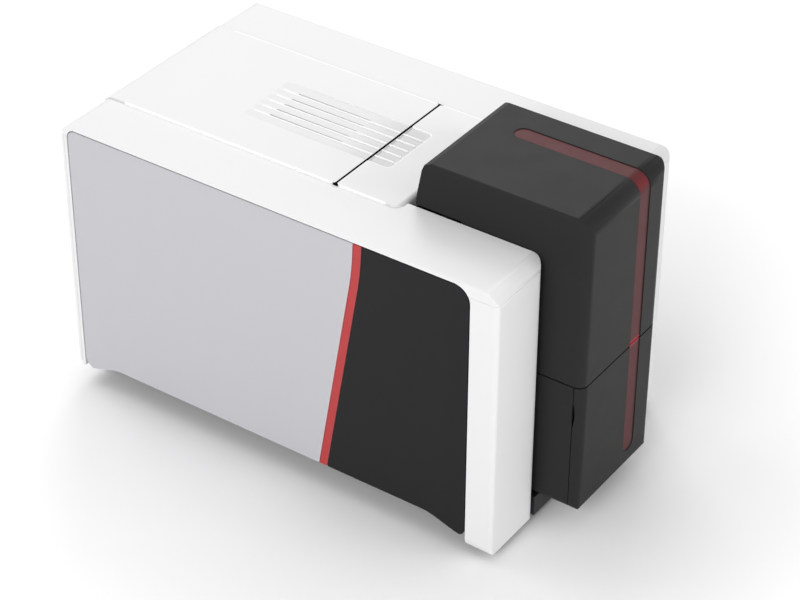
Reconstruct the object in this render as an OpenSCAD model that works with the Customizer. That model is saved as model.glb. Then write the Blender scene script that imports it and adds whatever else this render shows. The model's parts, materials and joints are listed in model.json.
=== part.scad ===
// Desktop card printer. A long lid is hinged at the rear over the print engine. The dark
// front module has a hinged feeder cover above and a drop-down hopper door below.
// Origin: centre of the outline on the supporting plane. +Z is up, the front faces -Y.
// Depths, named _d, run from the white column faces towards the rear.

/* [Housing] */
// Width over the side panels
body_w = 205; // [200:1:215]
// Depth from the column faces to the rear
body_d = 340; // [336:1:356]
// Height of the side strips of the top shell
strip_z = 208.2; // [207.6:0.2:212]
// Rise of the lid and the front top panel over the side strips
raise_h = 1.4; // [0.8:0.2:2.4]
// Half width of the raised lid
lid_half_w = 58.4; // [56:0.2:62]
// Depth of the seam between front top panel and lid
lid_seam_d = 150.5; // [146:0.5:156]
// Height of the top shell's band over the columns
band_h = 7.6; // [6:0.2:10]
// Wall of the white shells
shell_wall = 2.4; // [2:0.1:3]
// Radius of the roll at the front top edge
front_roll_r = 10; // [8:0.5:12]
// Gap between the floor and the columns
ground_gap = 4.2; // [3:0.2:6]
// Inner edge of the left column, from the middle
channel_left = 49.4; // [49.2:0.1:51]
// Inner edge of the right column, from the middle
channel_right = 43.2; // [43:0.1:45]
// Depth of a column's outer side face
column_side_d = 19.6; // [16:0.2:24]
// Radius of a column's inner front corner
column_corner_r = 8.5; // [4:0.5:10]
// Radius of the columns' outer edges
column_edge_r = 4; // [2.5:0.5:5]
// Radius of a column's outer bottom corner
column_toe_r = 9; // [4:0.5:12]

/* [Side panels] */
// Thickness of a side panel
panel_t = 3; // [2:0.2:4]
// Height of the panels' bottom edge between the toes
panel_bottom_z = 21.5; // [18:0.5:26]
// How far the toes at the panels' ends reach below that edge
toe_drop = 7.5; // [3:0.5:9]
// Length of a toe's curve
toe_run = 32; // [20:1:45]
// Corner radius of the side panels
panel_corner_r = 6; // [3:0.5:9]
// Radius of the front panels' top front corner
panel_front_r = 11; // [6:0.5:14]
// Groove around the side panels
panel_groove = 0.9; // [0.5:0.1:1.2]
// White rim behind the side panels
rear_rim = 5.6; // [4:0.2:8]
// Width of the accent strip
accent_w = 6; // [4:0.5:9]
// Depth of the accent strip's rear edge at its top end
accent_top_d = 105.2; // [95:0.2:120]
// Height at which the accent strip bends
accent_bend_z = 184; // [170:1:195]
// Slope of the accent strip above its bend
accent_top_slope = 0.05; // [0:0.01:0.1]
// Slope of the accent strip below its bend
accent_slope = 0.17; // [0.1:0.01:0.25]
// Gap between neighbouring side panels
panel_gap = 0.5; // [0.2:0.05:0.6]

/* [Front module] */
// How far the module stands out in front of the columns
module_out = 29.5; // [26:0.5:34]
// Left face of the module, from the middle
module_left = 48.6; // [46:0.1:48.8]
// Right face of the module, from the middle
module_right = 42.4; // [40:0.1:42.6]
// Height of the module's top face
module_top_z = 241.7; // [238:0.1:250]
// Depth of the cover's rear face at its foot
cover_rear_d = 97; // [95:0.5:98]
// How far the cover's rear face leans forward towards its top
cover_lean = 5; // [2:0.5:7]
// Height of the seam between feeder cover and hopper door
seam_z = 118.5; // [116:0.5:124]
// Height of the hopper's underside
hopper_bottom_z = 19.5; // [17:0.5:22]
// Wall of the dark shells
cover_wall = 2.5; // [2:0.1:3]
// Radius of the module's upright front corners
module_corner_r = 6.5; // [5:0.5:9]
// Radius of the cover's top front edge
cover_front_r = 11; // [5:0.5:12]
// Radius of the cover's side edges
cover_edge_r = 2; // [1.5:0.5:5]
// Gap at the seams of the front module
seam_gap = 1.2; // [0.5:0.1:1.4]
// Middle of the light strip, from the middle of the printer
light_x = 15.3; // [10:0.1:20]
// Width of the light strip
light_w = 12.4; // [8:0.1:14]
// Depth of the light strip's rear end
light_rear_d = 65; // [50:1:75]
// Height of the light strip's lower end
light_low_z = 30.5; // [28:0.5:60]

/* [Grille and finger scoop] */
// Number of slots in the lid
slot_count = 5; // [3:1:6]
// Spacing of the slots
slot_pitch = 7.9; // [7:0.1:8.4]
// Width of a slot
slot_w = 1.4; // [1:0.1:2]
// Length of a slot
slot_len = 58; // [40:1:62]
// Distance from the lid's seam to the slots
slot_start = 26; // [20:1:32]
// Width of the scoop
scoop_w = 50; // [46:1:54]
// How far the scoop runs into the front top panel
scoop_front = 18; // [12:1:24]
// How far the scoop runs into the lid
scoop_rear = 104; // [96:1:112]
// Depth of the scoop at its front wall
scoop_h = 1; // [0.6:0.1:1.6]

/* [Card path] */
// Width of a card
card_w = 54; // [53.9:0.1:54.2]
// Length of a card
card_l = 85.6; // [85.4:0.1:85.8]
// Height of the card's underside in the print engine
card_z = 112; // [110:0.5:113]
// Height of the magazine floor
pick_z = 127; // [126:0.5:129]
// Travel of the card weight
weight_travel = 64; // [50:1:66]
// Radius of the transport rollers
roller_r = 6; // [5:0.5:7]
// Radius of the roller shafts
shaft_r = 3; // [2.5:0.1:3.2]
// Running clearance of a shaft in its bore
run_clear = 0.05; // [0.02:0.01:0.1]
// Depths of the feed, platen and rear rollers
feed_d = 135; // [133:1:137]
platen_d = 207; // [205:1:209]
back_d = 280; // [278:1:282]

/* [Ribbon] */
// Height of the spool axes
spool_z = 160; // [158:0.5:163]
// Depth of the take-up spool
takeup_d = 150; // [148:1:152]
// Depth of the supply spool
supply_d = 262; // [260:1:266]
// Radius of the spool flanges
flange_r = 19; // [18:0.5:20]
// Radius of the spool journals
journal_r = 4; // [3:0.5:5]
// Radius of the film on the supply spool
supply_roll_r = 16; // [12:0.5:17]
// Radius of the film on the take-up spool
takeup_roll_r = 12; // [10:0.5:16]

/* [Hidden] */

white = [0.93, 0.93, 0.94];
pale_grey = [0.76, 0.76, 0.79];
charcoal = [0.17, 0.17, 0.18];
dark_shell = [0.22, 0.22, 0.22];
accent_red = [0.74, 0.18, 0.2];
black = [0.08, 0.08, 0.09];
steel = [0.66, 0.67, 0.69];
rubber_grey = [0.2, 0.2, 0.21];

// Rest clearance between parts that seat on each other
seat = 0.2;
// Clearance around moving housings
swing = 0.4;
// Overshoot of a cut past the face that it opens
over = 1;
half_w = body_w / 2;
col_y = (module_out - body_d) / 2;
top_z = strip_z + raise_h;
band_z = strip_z - band_h;
wall_top_z = band_z - seat;
plate_z = top_z - shell_wall;
shell_under_z = strip_z - shell_wall;
rest_z = shell_under_z + seat;
front_panel_d = cover_rear_d + 5;
path_x = (module_right - module_left) / 2;
rear_face_d = body_d - 2.2;

// Side panels and the housings behind them
panel_in_x = half_w - panel_t;
panel_top_z = strip_z - 2.6;
panel_front_d = column_side_d + panel_groove;
panel_rear_d = body_d - rear_rim;
rim_front_d = panel_rear_d + panel_groove;
housing_out_x = panel_in_x - seat;
housing_in_x = housing_out_x - shell_wall;
accent_blend = 12;

// Lid hinge, inside the roll at the rear edge of the lid
lid_roll_r = 7.2;
lid_corner_r = 1.6;
lid_axis_d = body_d - lid_roll_r;
lid_axis_z = top_z - lid_roll_r;
lid_pin_r = 1.6;
lid_knuckle_r = 2.8;
lid_knuckle_x = [46, 50];
lid_ears_x = [[42, 45.6], [50.4, 54]];

// Feeder cover hinge, inside the cover's rear lower corner
cover_axis_d = cover_rear_d - 9;
cover_axis_z = strip_z + 4.8;
cover_pin_r = 2;
cover_ear_r = 4;
cover_skirt_d = 62;

// Hopper door hinge, inside the door's lower edge
door_rear_d = -module_out + 6;
door_axis_d = door_rear_d;
door_knuckle_r = 3;
door_axis_z = hopper_bottom_z + door_knuckle_r;
door_pin_r = 1.5;
door_sweep_r = 4.4;
door_knuckle_w = 6;
door_ear_w = 3;
door_ear_gap = 0.4;
door_corner_r = 8;
hopper_rear_d = 92;
hopper_rear_z = card_z - 4;

// Base
base_x = housing_in_x - seat;
base_top_z = 24;
base_floor = 3;
base_front_d = column_corner_r + 0.8;
foot_r = 8;
foot_in = 1;
base_inset = 15;
base_shelf_z = 16.5;
tub_x = base_x - base_inset;
foot_x = tub_x - foot_r - 3;
foot_front_d = 28;
foot_rear_d = body_d - 26;

// Chassis
plate_t = 2;
plate_gap = 80;
plate_in_left = path_x - plate_gap / 2;
plate_in_right = path_x + plate_gap / 2;
plate_front_d = 106;
plate_rear_d = body_d - 24;
plate_top_z = 186;
plate_foot = 12;
floor_z = ground_gap + base_floor;
cross_z = plate_top_z - 6;
roller_z = card_z - 0.1 - roller_r;
sleeve_half = card_w / 2 + 1;
shaft_end = 0.8;

// Belt drive on the right of the chassis
pulley_r = 9;
pulley_flange_r = 10.4;
motor_pulley_r = 6;
belt_w = 5;
belt_t = 1.2;
belt_clear = 0.3;
pulley_x = plate_in_right + plate_t + 2;
motor_d = 240;
motor_z = 60;
motor_size = 42;
motor_len = 30;
motor_shaft_r = 2.5;
motor_boss_r = 11;

// Ribbon path
guide_r = 3;
guide_gap = 21;
film_t = 0.2;
film_z = card_z + 1;
guide_z = film_z + film_t + 0.1 + guide_r;
film_half = 29;

// Magazine
mag_clear = 0.4;
mag_half = card_w / 2 + mag_clear;
mag_wall = 2.5;
mag_front_d = -module_out + 9;
mag_rear_d = mag_front_d + card_l + mag_clear;
mag_top_z = 204;
pick_r = 5.5;
pick_d = mag_rear_d - 16;
pick_shaft_r = 2;

$fn = 64;

// ---- Shared shapes ----

// Box between two corners, with its Y extent given as depths
module block(x0, x1, d0, d1, z0, z1) {
    translate([x0, col_y + d0, z0]) cube([x1 - x0, d1 - d0, z1 - z0]);
}

// Round bar along X at depth d and height z
module bar_x(x0, x1, d, z, r) {
    translate([x0, col_y + d, z]) rotate([0, 90, 0]) cylinder(h = x1 - x0, r = r);
}

// Outline in depth and height, extruded along X
module slab_x(x0, x1) {
    translate([x0, col_y, 0]) rotate([90, 0, 90]) linear_extrude(x1 - x0) children();
}

// Outline in X and height, extruded along the depth
module slab_y(d0, d1) {
    translate([0, col_y + d1, 0]) rotate([90, 0, 0]) linear_extrude(d1 - d0) children();
}

// Outline in X and depth, extruded upwards
module slab_z(z0, z1) {
    translate([0, col_y, z0]) linear_extrude(z1 - z0) children();
}

// Corners of a rectangle as [u, v, step u, step v, radius]
function corners(u0, u1, v0, v1, r) = [
    [u0, v0, 1, 1, r[0]], [u1, v0, -1, 1, r[1]],
    [u1, v1, -1, -1, r[2]], [u0, v1, 1, -1, r[3]]];

// Rectangle with its own radius at each corner: low low, high low, high high, low high
module soft_rect(u0, u1, v0, v1, r) {
    intersection() {
        translate([u0, v0]) square([u1 - u0, v1 - v0]);
        union() {
            difference() {
                translate([u0, v0]) square([u1 - u0, v1 - v0]);
                for (c = corners(u0, u1, v0, v1, r))
                    if (c[4] > 0)
                        translate([c[0] + min(0, c[2] * c[4]), c[1] + min(0, c[3] * c[4])])
                            square(c[4]);
            }
            for (c = corners(u0, u1, v0, v1, r))
                if (c[4] > 0)
                    translate([c[0] + c[2] * c[4], c[1] + c[3] * c[4]]) circle(r = c[4]);
        }
    }
}

// Copies a piece to the left and the right
module both_sides() {
    children();
    mirror([1, 0, 0]) children();
}

// ---- White shells ----

// Side profile of the white housing, with the rolls at its top edges
module housing_profile() {
    soft_rect(0, body_d, ground_gap, strip_z, [3, 0, lid_roll_r, front_roll_r]);
}

// Room for a side's panels, with their rounded top corners
module panel_pocket() {
    soft_rect(column_side_d, rim_front_d, ground_gap - over, panel_top_z + panel_groove,
        [0, 0, panel_corner_r + panel_groove, panel_front_r + panel_groove]);
}

// Column between an outer side face and an inner corner, drawn on the left
module column(inner_x) {
    difference() {
        intersection() {
            slab_z(ground_gap, wall_top_z)
                soft_rect(-half_w, inner_x, 0, front_panel_d, [column_edge_r, column_corner_r, 0, 0]);
            slab_y(-over, front_panel_d + over)
                soft_rect(-half_w, inner_x, ground_gap, wall_top_z, [column_toe_r, 1.5, 0, 0]);
            slab_x(-half_w - over, inner_x + over) housing_profile();
        }
        slab_z(ground_gap - over, strip_z)
            soft_rect(-half_w + shell_wall, inner_x - shell_wall, shell_wall, body_d,
                [column_edge_r / 4, column_corner_r - shell_wall, 0, 0]);
        block(-half_w - over, inner_x + over, base_front_d - seat, body_d,
            ground_gap - over, base_top_z + seat);
        slab_x(-half_w - over, inner_x - shell_wall) panel_pocket();
    }
    // Side face below the cut for the base
    difference() {
        intersection() {
            block(-half_w, -half_w + shell_wall, base_front_d - seat - over, column_side_d,
                ground_gap, base_top_z + seat + over);
            slab_y(-over, body_d)
                soft_rect(-half_w, inner_x, ground_gap, wall_top_z, [column_toe_r, 0, 0, 0]);
        }
    }
}

module left_column() {
    color(white) column(-channel_left);
}

module right_column() {
    color(white) mirror([1, 0, 0]) column(-channel_right);
}

// Plan of the top shell: two front arms and the wide rear part
module shell_plan() {
    soft_rect(-half_w, -channel_left, 0, front_panel_d + over,
        [column_edge_r, column_corner_r, 0, 0]);
    soft_rect(channel_right, half_w, 0, front_panel_d + over,
        [column_corner_r, column_edge_r, 0, 0]);
    soft_rect(-half_w, half_w, front_panel_d, body_d, [0, 0, 2, 2]);
}

// Plan of the hollows under the two side strips
module shell_hollow_plan() {
    inner_r = column_corner_r - shell_wall;
    edge_x = half_w - panel_t - shell_wall;
    soft_rect(-edge_x, -channel_left - shell_wall, shell_wall, body_d - shell_wall,
        [0.5, inner_r, 0, 0.5]);
    soft_rect(channel_right + shell_wall, edge_x, shell_wall, body_d - shell_wall,
        [inner_r, 0.5, 0.5, 0]);
}

module top_shell() {
    ledge_in_x = lid_half_w - 3;
    ledge_out_x = lid_half_w + 3;
    ledge_z = shell_under_z - shell_wall;
    ledge_rear_d = lid_axis_d - 20;
    color(white) {
        difference() {
            intersection() {
                slab_z(band_z, strip_z) shell_plan();
                slab_y(-over, body_d + over)
                    soft_rect(-half_w, half_w, band_z - over, strip_z, [0, 0, 2.2, 2.2]);
                slab_x(-half_w - over, half_w + over) housing_profile();
            }
            intersection() {
                slab_z(band_z - over, shell_under_z) shell_hollow_plan();
                slab_x(-half_w, half_w)
                    soft_rect(shell_wall, body_d - shell_wall, 0, shell_under_z,
                        [0, 0, lid_roll_r - shell_wall, front_roll_r - shell_wall]);
            }
            block(-lid_half_w - panel_gap, lid_half_w + panel_gap, front_panel_d + shell_wall,
                body_d + over, band_z - over, shell_under_z);
            slab_z(shell_under_z - over, strip_z + over)
                soft_rect(-lid_half_w - panel_gap, lid_half_w + panel_gap,
                    front_panel_d - panel_gap, body_d + over,
                    [panel_corner_r + 1, panel_corner_r + 1, 0, 0]);
            both_sides()
                slab_x(panel_in_x - seat, half_w + over) panel_pocket();
        }
        both_sides()
            block(ledge_in_x, ledge_out_x, front_panel_d + shell_wall, ledge_rear_d,
                ledge_z, shell_under_z);
        block(-ledge_out_x, ledge_out_x, front_panel_d, lid_seam_d - 4, ledge_z, shell_under_z);
    }
}

// ---- Raised lid and front top panel ----

// Recess for the fingers, with a sloping floor that runs out towards the rear
module scoop_cut() {
    front_d = lid_seam_d - scoop_front;
    rear_d = lid_seam_d + scoop_rear;
    intersection() {
        slab_x(-scoop_w / 2, scoop_w / 2)
            polygon([[rear_d, top_z], [front_d, top_z - scoop_h], [front_d, top_z + over],
                [rear_d, top_z + over]]);
        slab_z(top_z - scoop_h - over, top_z + 2 * over)
            soft_rect(-scoop_w / 2, scoop_w / 2, front_d, rear_d + over, [5, 5, 0, 0]);
    }
}

function slot_x(i) = (i - (slot_count - 1) / 2) * slot_pitch;

// Fins that stand in the scoop beside the slots
module scoop_fins(d0, d1, z0) {
    fin_w = 1.2;
    for (i = [0 : slot_count - 1])
        block(slot_x(i) - slot_w / 2 - fin_w, slot_x(i) - slot_w / 2, d0, d1,
            z0, top_z - 0.15);
}

module front_top_panel() {
    front_d = front_panel_d;
    rear_d = lid_seam_d - panel_gap - seat;
    color(white) {
        difference() {
            intersection() {
                slab_z(rest_z, top_z)
                    soft_rect(-lid_half_w, lid_half_w, front_d, rear_d,
                        [panel_corner_r, panel_corner_r, lid_corner_r, lid_corner_r]);
                slab_x(-lid_half_w - over, lid_half_w + over)
                    soft_rect(front_d, rear_d, rest_z - over, top_z, [0, 0, 0, 3]);
            }
            block(-lid_half_w + shell_wall, lid_half_w - shell_wall, front_d + 2 * shell_wall,
                rear_d + over, rest_z - over, plate_z);
            scoop_cut();
        }
        difference() {
            block(-scoop_w / 2 - shell_wall, scoop_w / 2 + shell_wall,
                lid_seam_d - scoop_front - 3, rear_d, rest_z, plate_z);
            scoop_cut();
        }
        scoop_fins(lid_seam_d - scoop_front + 3, rear_d, rest_z);
    }
}

module lid_knuckle() {
    difference() {
        union() {
            bar_x(lid_knuckle_x[0], lid_knuckle_x[1], lid_axis_d, lid_axis_z, lid_knuckle_r);
            block(lid_knuckle_x[0], lid_knuckle_x[1], lid_axis_d - 2 * lid_knuckle_r,
                lid_axis_d - 1, lid_axis_z - 1, plate_z + 0.4);
        }
        bar_x(lid_knuckle_x[0] - over, lid_knuckle_x[1] + over, lid_axis_d, lid_axis_z,
            lid_pin_r + run_clear);
    }
}

module lid() {
    front_d = lid_seam_d + panel_gap + seat;
    pad_rear_d = lid_seam_d + scoop_rear;
    color(white) {
        difference() {
            intersection() {
                slab_x(-lid_half_w, lid_half_w)
                    soft_rect(front_d, body_d, lid_axis_z, top_z, [0, 0, lid_roll_r, 0.6]);
                slab_z(lid_axis_z, top_z)
                    soft_rect(-lid_half_w, lid_half_w, front_d, body_d,
                        [lid_corner_r, lid_corner_r, 0, 0]);
            }
            // Hollow under the plate, between the side skirts
            slab_x(-lid_half_w + shell_wall, lid_half_w - shell_wall)
                soft_rect(front_d + shell_wall, body_d - shell_wall, lid_axis_z - over, plate_z,
                    [0, 0, lid_roll_r - shell_wall, 0]);
            // The skirts end above the shell's ledges
            block(-lid_half_w - over, lid_half_w + over, front_d - over,
                lid_axis_d, lid_axis_z - over, rest_z);
            scoop_cut();
            for (i = [0 : slot_count - 1])
                block(slot_x(i) - slot_w / 2, slot_x(i) + slot_w / 2,
                    lid_seam_d + slot_start, lid_seam_d + slot_start + slot_len,
                    rest_z - 4, top_z + over);
        }
        // Thicker floor under the scoop
        difference() {
            block(-scoop_w / 2 - shell_wall, scoop_w / 2 + shell_wall, front_d, pad_rear_d,
                rest_z - 1, plate_z);
            scoop_cut();
            for (i = [0 : slot_count - 1])
                block(slot_x(i) - slot_w / 2, slot_x(i) + slot_w / 2,
                    lid_seam_d + slot_start, lid_seam_d + slot_start + slot_len,
                    rest_z - 4, top_z + over);
        }
        scoop_fins(front_d, pad_rear_d - 8, plate_z - 2);
        both_sides() lid_knuckle();
    }
}

// Dark frame under the lid that carries the print head
lid_frame_half = 50;
lid_frame_t = 2.6;
lid_frame_top_z = rest_z - 1;
head_half_d = 11;
module lid_frame() {
    rail = 9;
    front_d = lid_seam_d + 8;
    rear_d = lid_axis_d - 12;
    z0 = lid_frame_top_z - lid_frame_t;
    head_d0 = platen_d - head_half_d - 6;
    head_d1 = platen_d + head_half_d + 6;
    color(charcoal) {
        difference() {
            block(-lid_frame_half, lid_frame_half, front_d, rear_d, z0, lid_frame_top_z);
            block(-lid_frame_half + rail, lid_frame_half - rail, front_d + rail, head_d0,
                z0 - over, lid_frame_top_z + over);
            block(-lid_frame_half + rail, lid_frame_half - rail, head_d1, rear_d - rail,
                z0 - over, lid_frame_top_z + over);
        }
        // Spacers up to the lid plate
        for (d = [front_d + rail / 2, rear_d - rail / 2])
            both_sides()
                translate([lid_frame_half - rail / 2, col_y + d, lid_frame_top_z])
                    cylinder(h = plate_z - lid_frame_top_z, r = 3);
    }
}

bracket_half = card_w / 2 + 4;
bracket_t = 2;
head_z = film_z + film_t + 0.3;
sink_z = head_z + 4;
module head_bracket() {
    top = lid_frame_top_z - lid_frame_t;
    low = sink_z + 4;
    color(steel) {
        for (s = [-1, 1])
            slab_x(path_x + s * bracket_half - bracket_t / 2, path_x + s * bracket_half + bracket_t / 2)
                polygon([[platen_d - head_half_d, low], [platen_d + head_half_d, low],
                    [platen_d + head_half_d + 4, top], [platen_d - head_half_d - 4, top]]);
        block(path_x - bracket_half - 6, path_x + bracket_half + 6, platen_d - head_half_d - 4,
            platen_d + head_half_d + 4, top - bracket_t, top);
        block(path_x - bracket_half, path_x + bracket_half, platen_d + head_half_d - bracket_t,
            platen_d + head_half_d, low + 14, top);
    }
}

module heat_sink() {
    fin_t = 1.4;
    fins = 6;
    half = bracket_half - bracket_t / 2 - seat;
    pitch = (2 * head_half_d - fin_t) / (fins - 1);
    color(steel) {
        block(path_x - half, path_x + half, platen_d - head_half_d, platen_d + head_half_d,
            sink_z, sink_z + 4);
        for (i = [0 : fins - 1])
            block(path_x - half, path_x + half, platen_d - head_half_d + i * pitch,
                platen_d - head_half_d + i * pitch + fin_t, sink_z + 4, sink_z + 14);
    }
}

module print_head() {
    half = card_w / 2 + 1;
    color([0.86, 0.8, 0.62])
        slab_x(path_x - half, path_x + half)
            polygon([[platen_d - head_half_d, sink_z], [platen_d - head_half_d, head_z + 2],
                [platen_d - 3, head_z], [platen_d + 3, head_z],
                [platen_d + head_half_d, head_z + 2], [platen_d + head_half_d, sink_z]]);
}

// ---- Side panels ----

// Smooth step from 0 to 1
function ease(t) = t <= 0 ? 0 : t >= 1 ? 1 : t * t * (3 - 2 * t);

function panel_low_z(d) = panel_bottom_z
    - toe_drop * ease((panel_front_d + toe_run - d) / toe_run)
    - toe_drop * ease((d - panel_rear_d + toe_run) / toe_run);

// Depth of the accent strip's rear edge at height z, with a rounded bend
function accent_d(z) = let (u = accent_bend_z - z, b = accent_blend)
    accent_top_d + accent_top_slope * (panel_top_z - z)
    + (accent_slope - accent_top_slope)
    * (u <= -b ? 0 : u >= b ? u : (u + b) * (u + b) / (4 * b));

// Outline of a whole side: rounded corners and a toe at each end
module side_outline() {
    step = 4;
    low = panel_bottom_z - toe_drop;
    difference() {
        soft_rect(panel_front_d, panel_rear_d, low, panel_top_z,
            [5, panel_front_r - 2, panel_corner_r, panel_front_r]);
        polygon(concat(
            [for (i = [1 : toe_run / step]) let (d = panel_front_d + step * i)
                [d, panel_low_z(d)]],
            [for (i = [toe_run / step : -1 : 1]) let (d = panel_rear_d - step * i)
                [d, panel_low_z(d)]],
            [[panel_rear_d - step, low - over], [panel_front_d + step, low - over]]));
    }
}

// Band between two offsets from the accent strip's rear edge
module accent_band(from, to) {
    step = 4;
    heights = [for (z = [0 : step : 240]) z];
    polygon(concat([for (z = heights) [accent_d(z) + from, z]],
        [for (i = [len(heights) - 1 : -1 : 0]) [accent_d(heights[i]) + to, heights[i]]]));
}

module side_piece(from, to) {
    slab_x(-half_w, -panel_in_x)
        intersection() {
            side_outline();
            accent_band(from, to);
        }
}

module front_piece() side_piece(-body_d, -accent_w - panel_gap);
module accent_piece() side_piece(-accent_w, 0);
module rear_piece() side_piece(panel_gap, body_d);

module left_front_panel() color(charcoal) front_piece();
module left_accent_strip() color(accent_red) accent_piece();
module left_rear_panel() color(pale_grey) rear_piece();
module right_front_panel() color(charcoal) mirror([1, 0, 0]) front_piece();
module right_accent_strip() color(accent_red) mirror([1, 0, 0]) accent_piece();
module right_rear_panel() color(pale_grey) mirror([1, 0, 0]) rear_piece();

// Wall behind the side panels, with stiffening ribs inside
module side_housing() {
    color(white) {
        slab_x(-housing_out_x, -housing_in_x)
            soft_rect(shell_wall + seat, rear_face_d - seat, panel_bottom_z + 1, wall_top_z,
                [3, 3, 3, front_roll_r]);
        for (d = [60, 150, 250])
            block(-housing_in_x - over, -housing_in_x + 4, d, d + 2, base_top_z + 4,
                wall_top_z - 6);
        // Rim behind the panels
        slab_x(-half_w, -housing_out_x + over)
            soft_rect(rim_front_d, rear_face_d - seat, panel_bottom_z - toe_drop, wall_top_z,
                [1, 1, 0, 0]);
    }
}

module left_side_housing() side_housing();
module right_side_housing() mirror([1, 0, 0]) side_housing();

// ---- Base, feet and rear ----

module foot_places() {
    for (d = [foot_front_d, foot_rear_d])
        for (s = [-1, 1])
            translate([s * foot_x, col_y + d, 0]) children();
}

module base_tray() {
    rear_d = rear_face_d - seat;
    tongue_d = 1;
    color(black) {
        difference() {
            union() {
                slab_z(ground_gap, base_shelf_z + base_floor)
                    soft_rect(-tub_x, tub_x, base_front_d, rear_d, [8, 8, 8, 8]);
                slab_z(base_shelf_z, base_top_z)
                    soft_rect(-base_x, base_x, base_front_d, rear_d, [4, 4, 4, 4]);
                block(-channel_left + seat, channel_right - seat, tongue_d, base_front_d + over,
                    ground_gap, hopper_bottom_z - seat);
            }
            block(-tub_x + shell_wall, tub_x - shell_wall, base_front_d + shell_wall,
                rear_d - shell_wall, floor_z, base_top_z + over);
            block(-base_x + shell_wall, base_x - shell_wall, base_front_d + shell_wall,
                rear_d - shell_wall, base_shelf_z + base_floor, base_top_z + over);
            block(-channel_left, channel_right, base_front_d - over, base_front_d + 5,
                hopper_bottom_z - seat, base_top_z + over);
            foot_places()
                translate([0, 0, ground_gap - over]) cylinder(h = foot_in + over, r = foot_r + seat);
        }
        // Ribs under the hopper tray
        for (x = [-channel_left + 10, channel_right - 14])
            block(x, x + 4, base_front_d + shell_wall - over, hopper_rear_d, floor_z - over,
                hopper_bottom_z - seat);
    }
}

module rubber_feet() {
    color(rubber_grey)
        foot_places() {
            cylinder(h = ground_gap + foot_in, r = foot_r);
        }
}

// Openings of the rear panel
port_z = 44;
inlet_x = 24.5 - half_w;
usb_x = inlet_x + 26;
network_x = usb_x + 24;
fan_x = half_w - 32.5;
fan_z = 118;
fan_size = 40;
fan_r = 18.5;
module rear_panel() {
    vent_w = 2.4;
    vent_pitch = 5.2;
    vent_x = inlet_x - 2;
    vent_half = 20;
    d0 = rear_face_d;
    d1 = body_d;
    color(white)
        difference() {
            slab_y(d0, d1)
                soft_rect(-half_w, half_w, panel_bottom_z - toe_drop, wall_top_z, [5, 5, 0, 0]);
            // Swing room for the lid's rear roll
            bar_x(-lid_half_w - swing, lid_half_w + swing, lid_axis_d, lid_axis_z,
                lid_roll_r + swing);
            translate([inlet_x, col_y + d0 - over, port_z]) rotate([-90, 0, 0])
                cylinder(h = 5, r = 5.6);
            block(usb_x - 6.2, usb_x + 6.2, d0 - over, d1 + over, port_z - 5.8, port_z + 5.8);
            block(network_x - 8.2, network_x + 8.2, d0 - over, d1 + over,
                port_z - 7, port_z + 7);
            // Lock slot
            block(fan_x + 14, fan_x + 21, d0 - over, d1 + over, port_z - 1.5, port_z + 1.5);
            // Fan grille and the vents beside it
            for (i = [-3 : 3])
                let (h = sqrt(fan_r * fan_r - i * i * vent_pitch * vent_pitch))
                    block(fan_x + i * vent_pitch - vent_w / 2, fan_x + i * vent_pitch + vent_w / 2,
                        d0 - over, d1 + over, fan_z - h, fan_z + h);
            for (i = [0 : 9])
                block(vent_x + i * vent_pitch, vent_x + i * vent_pitch + vent_w, d0 - over,
                    d1 + over, fan_z - vent_half, fan_z + vent_half);
        }
}

module power_inlet() {
    color(black) {
        difference() {
            translate([inlet_x, col_y + rear_face_d - 9, port_z]) rotate([-90, 0, 0])
                cylinder(h = 10.8, r = 5.4);
            translate([inlet_x, col_y + rear_face_d - 7, port_z]) rotate([-90, 0, 0])
                cylinder(h = 12, r = 4);
        }
        translate([inlet_x, col_y + rear_face_d - 7.5, port_z]) rotate([-90, 0, 0])
            cylinder(h = 8, r = 1.2);
    }
}

// Metal socket with a tongue inside
module socket(x, half_x, half_z, tongue_z, tongue_t) {
    d0 = rear_face_d - 12;
    d1 = rear_face_d + 1.6;
    difference() {
        block(x - half_x, x + half_x, d0, d1, port_z - half_z, port_z + half_z);
        block(x - half_x + 0.8, x + half_x - 0.8, d0 + 2, d1 + over, port_z - half_z + 0.8,
            port_z + half_z - 0.8);
    }
    block(x - half_x + 2.6, x + half_x - 2.6, d0 + 1.5, d1 - 1.5, port_z + tongue_z,
        port_z + tongue_z + tongue_t);
}

module usb_port() color(steel) socket(usb_x, 6, 5.6, -1.6, 3.2);
module network_port() color(steel) socket(network_x, 8, 6.8, 4, 1.2);

// ---- Chassis ----

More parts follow.
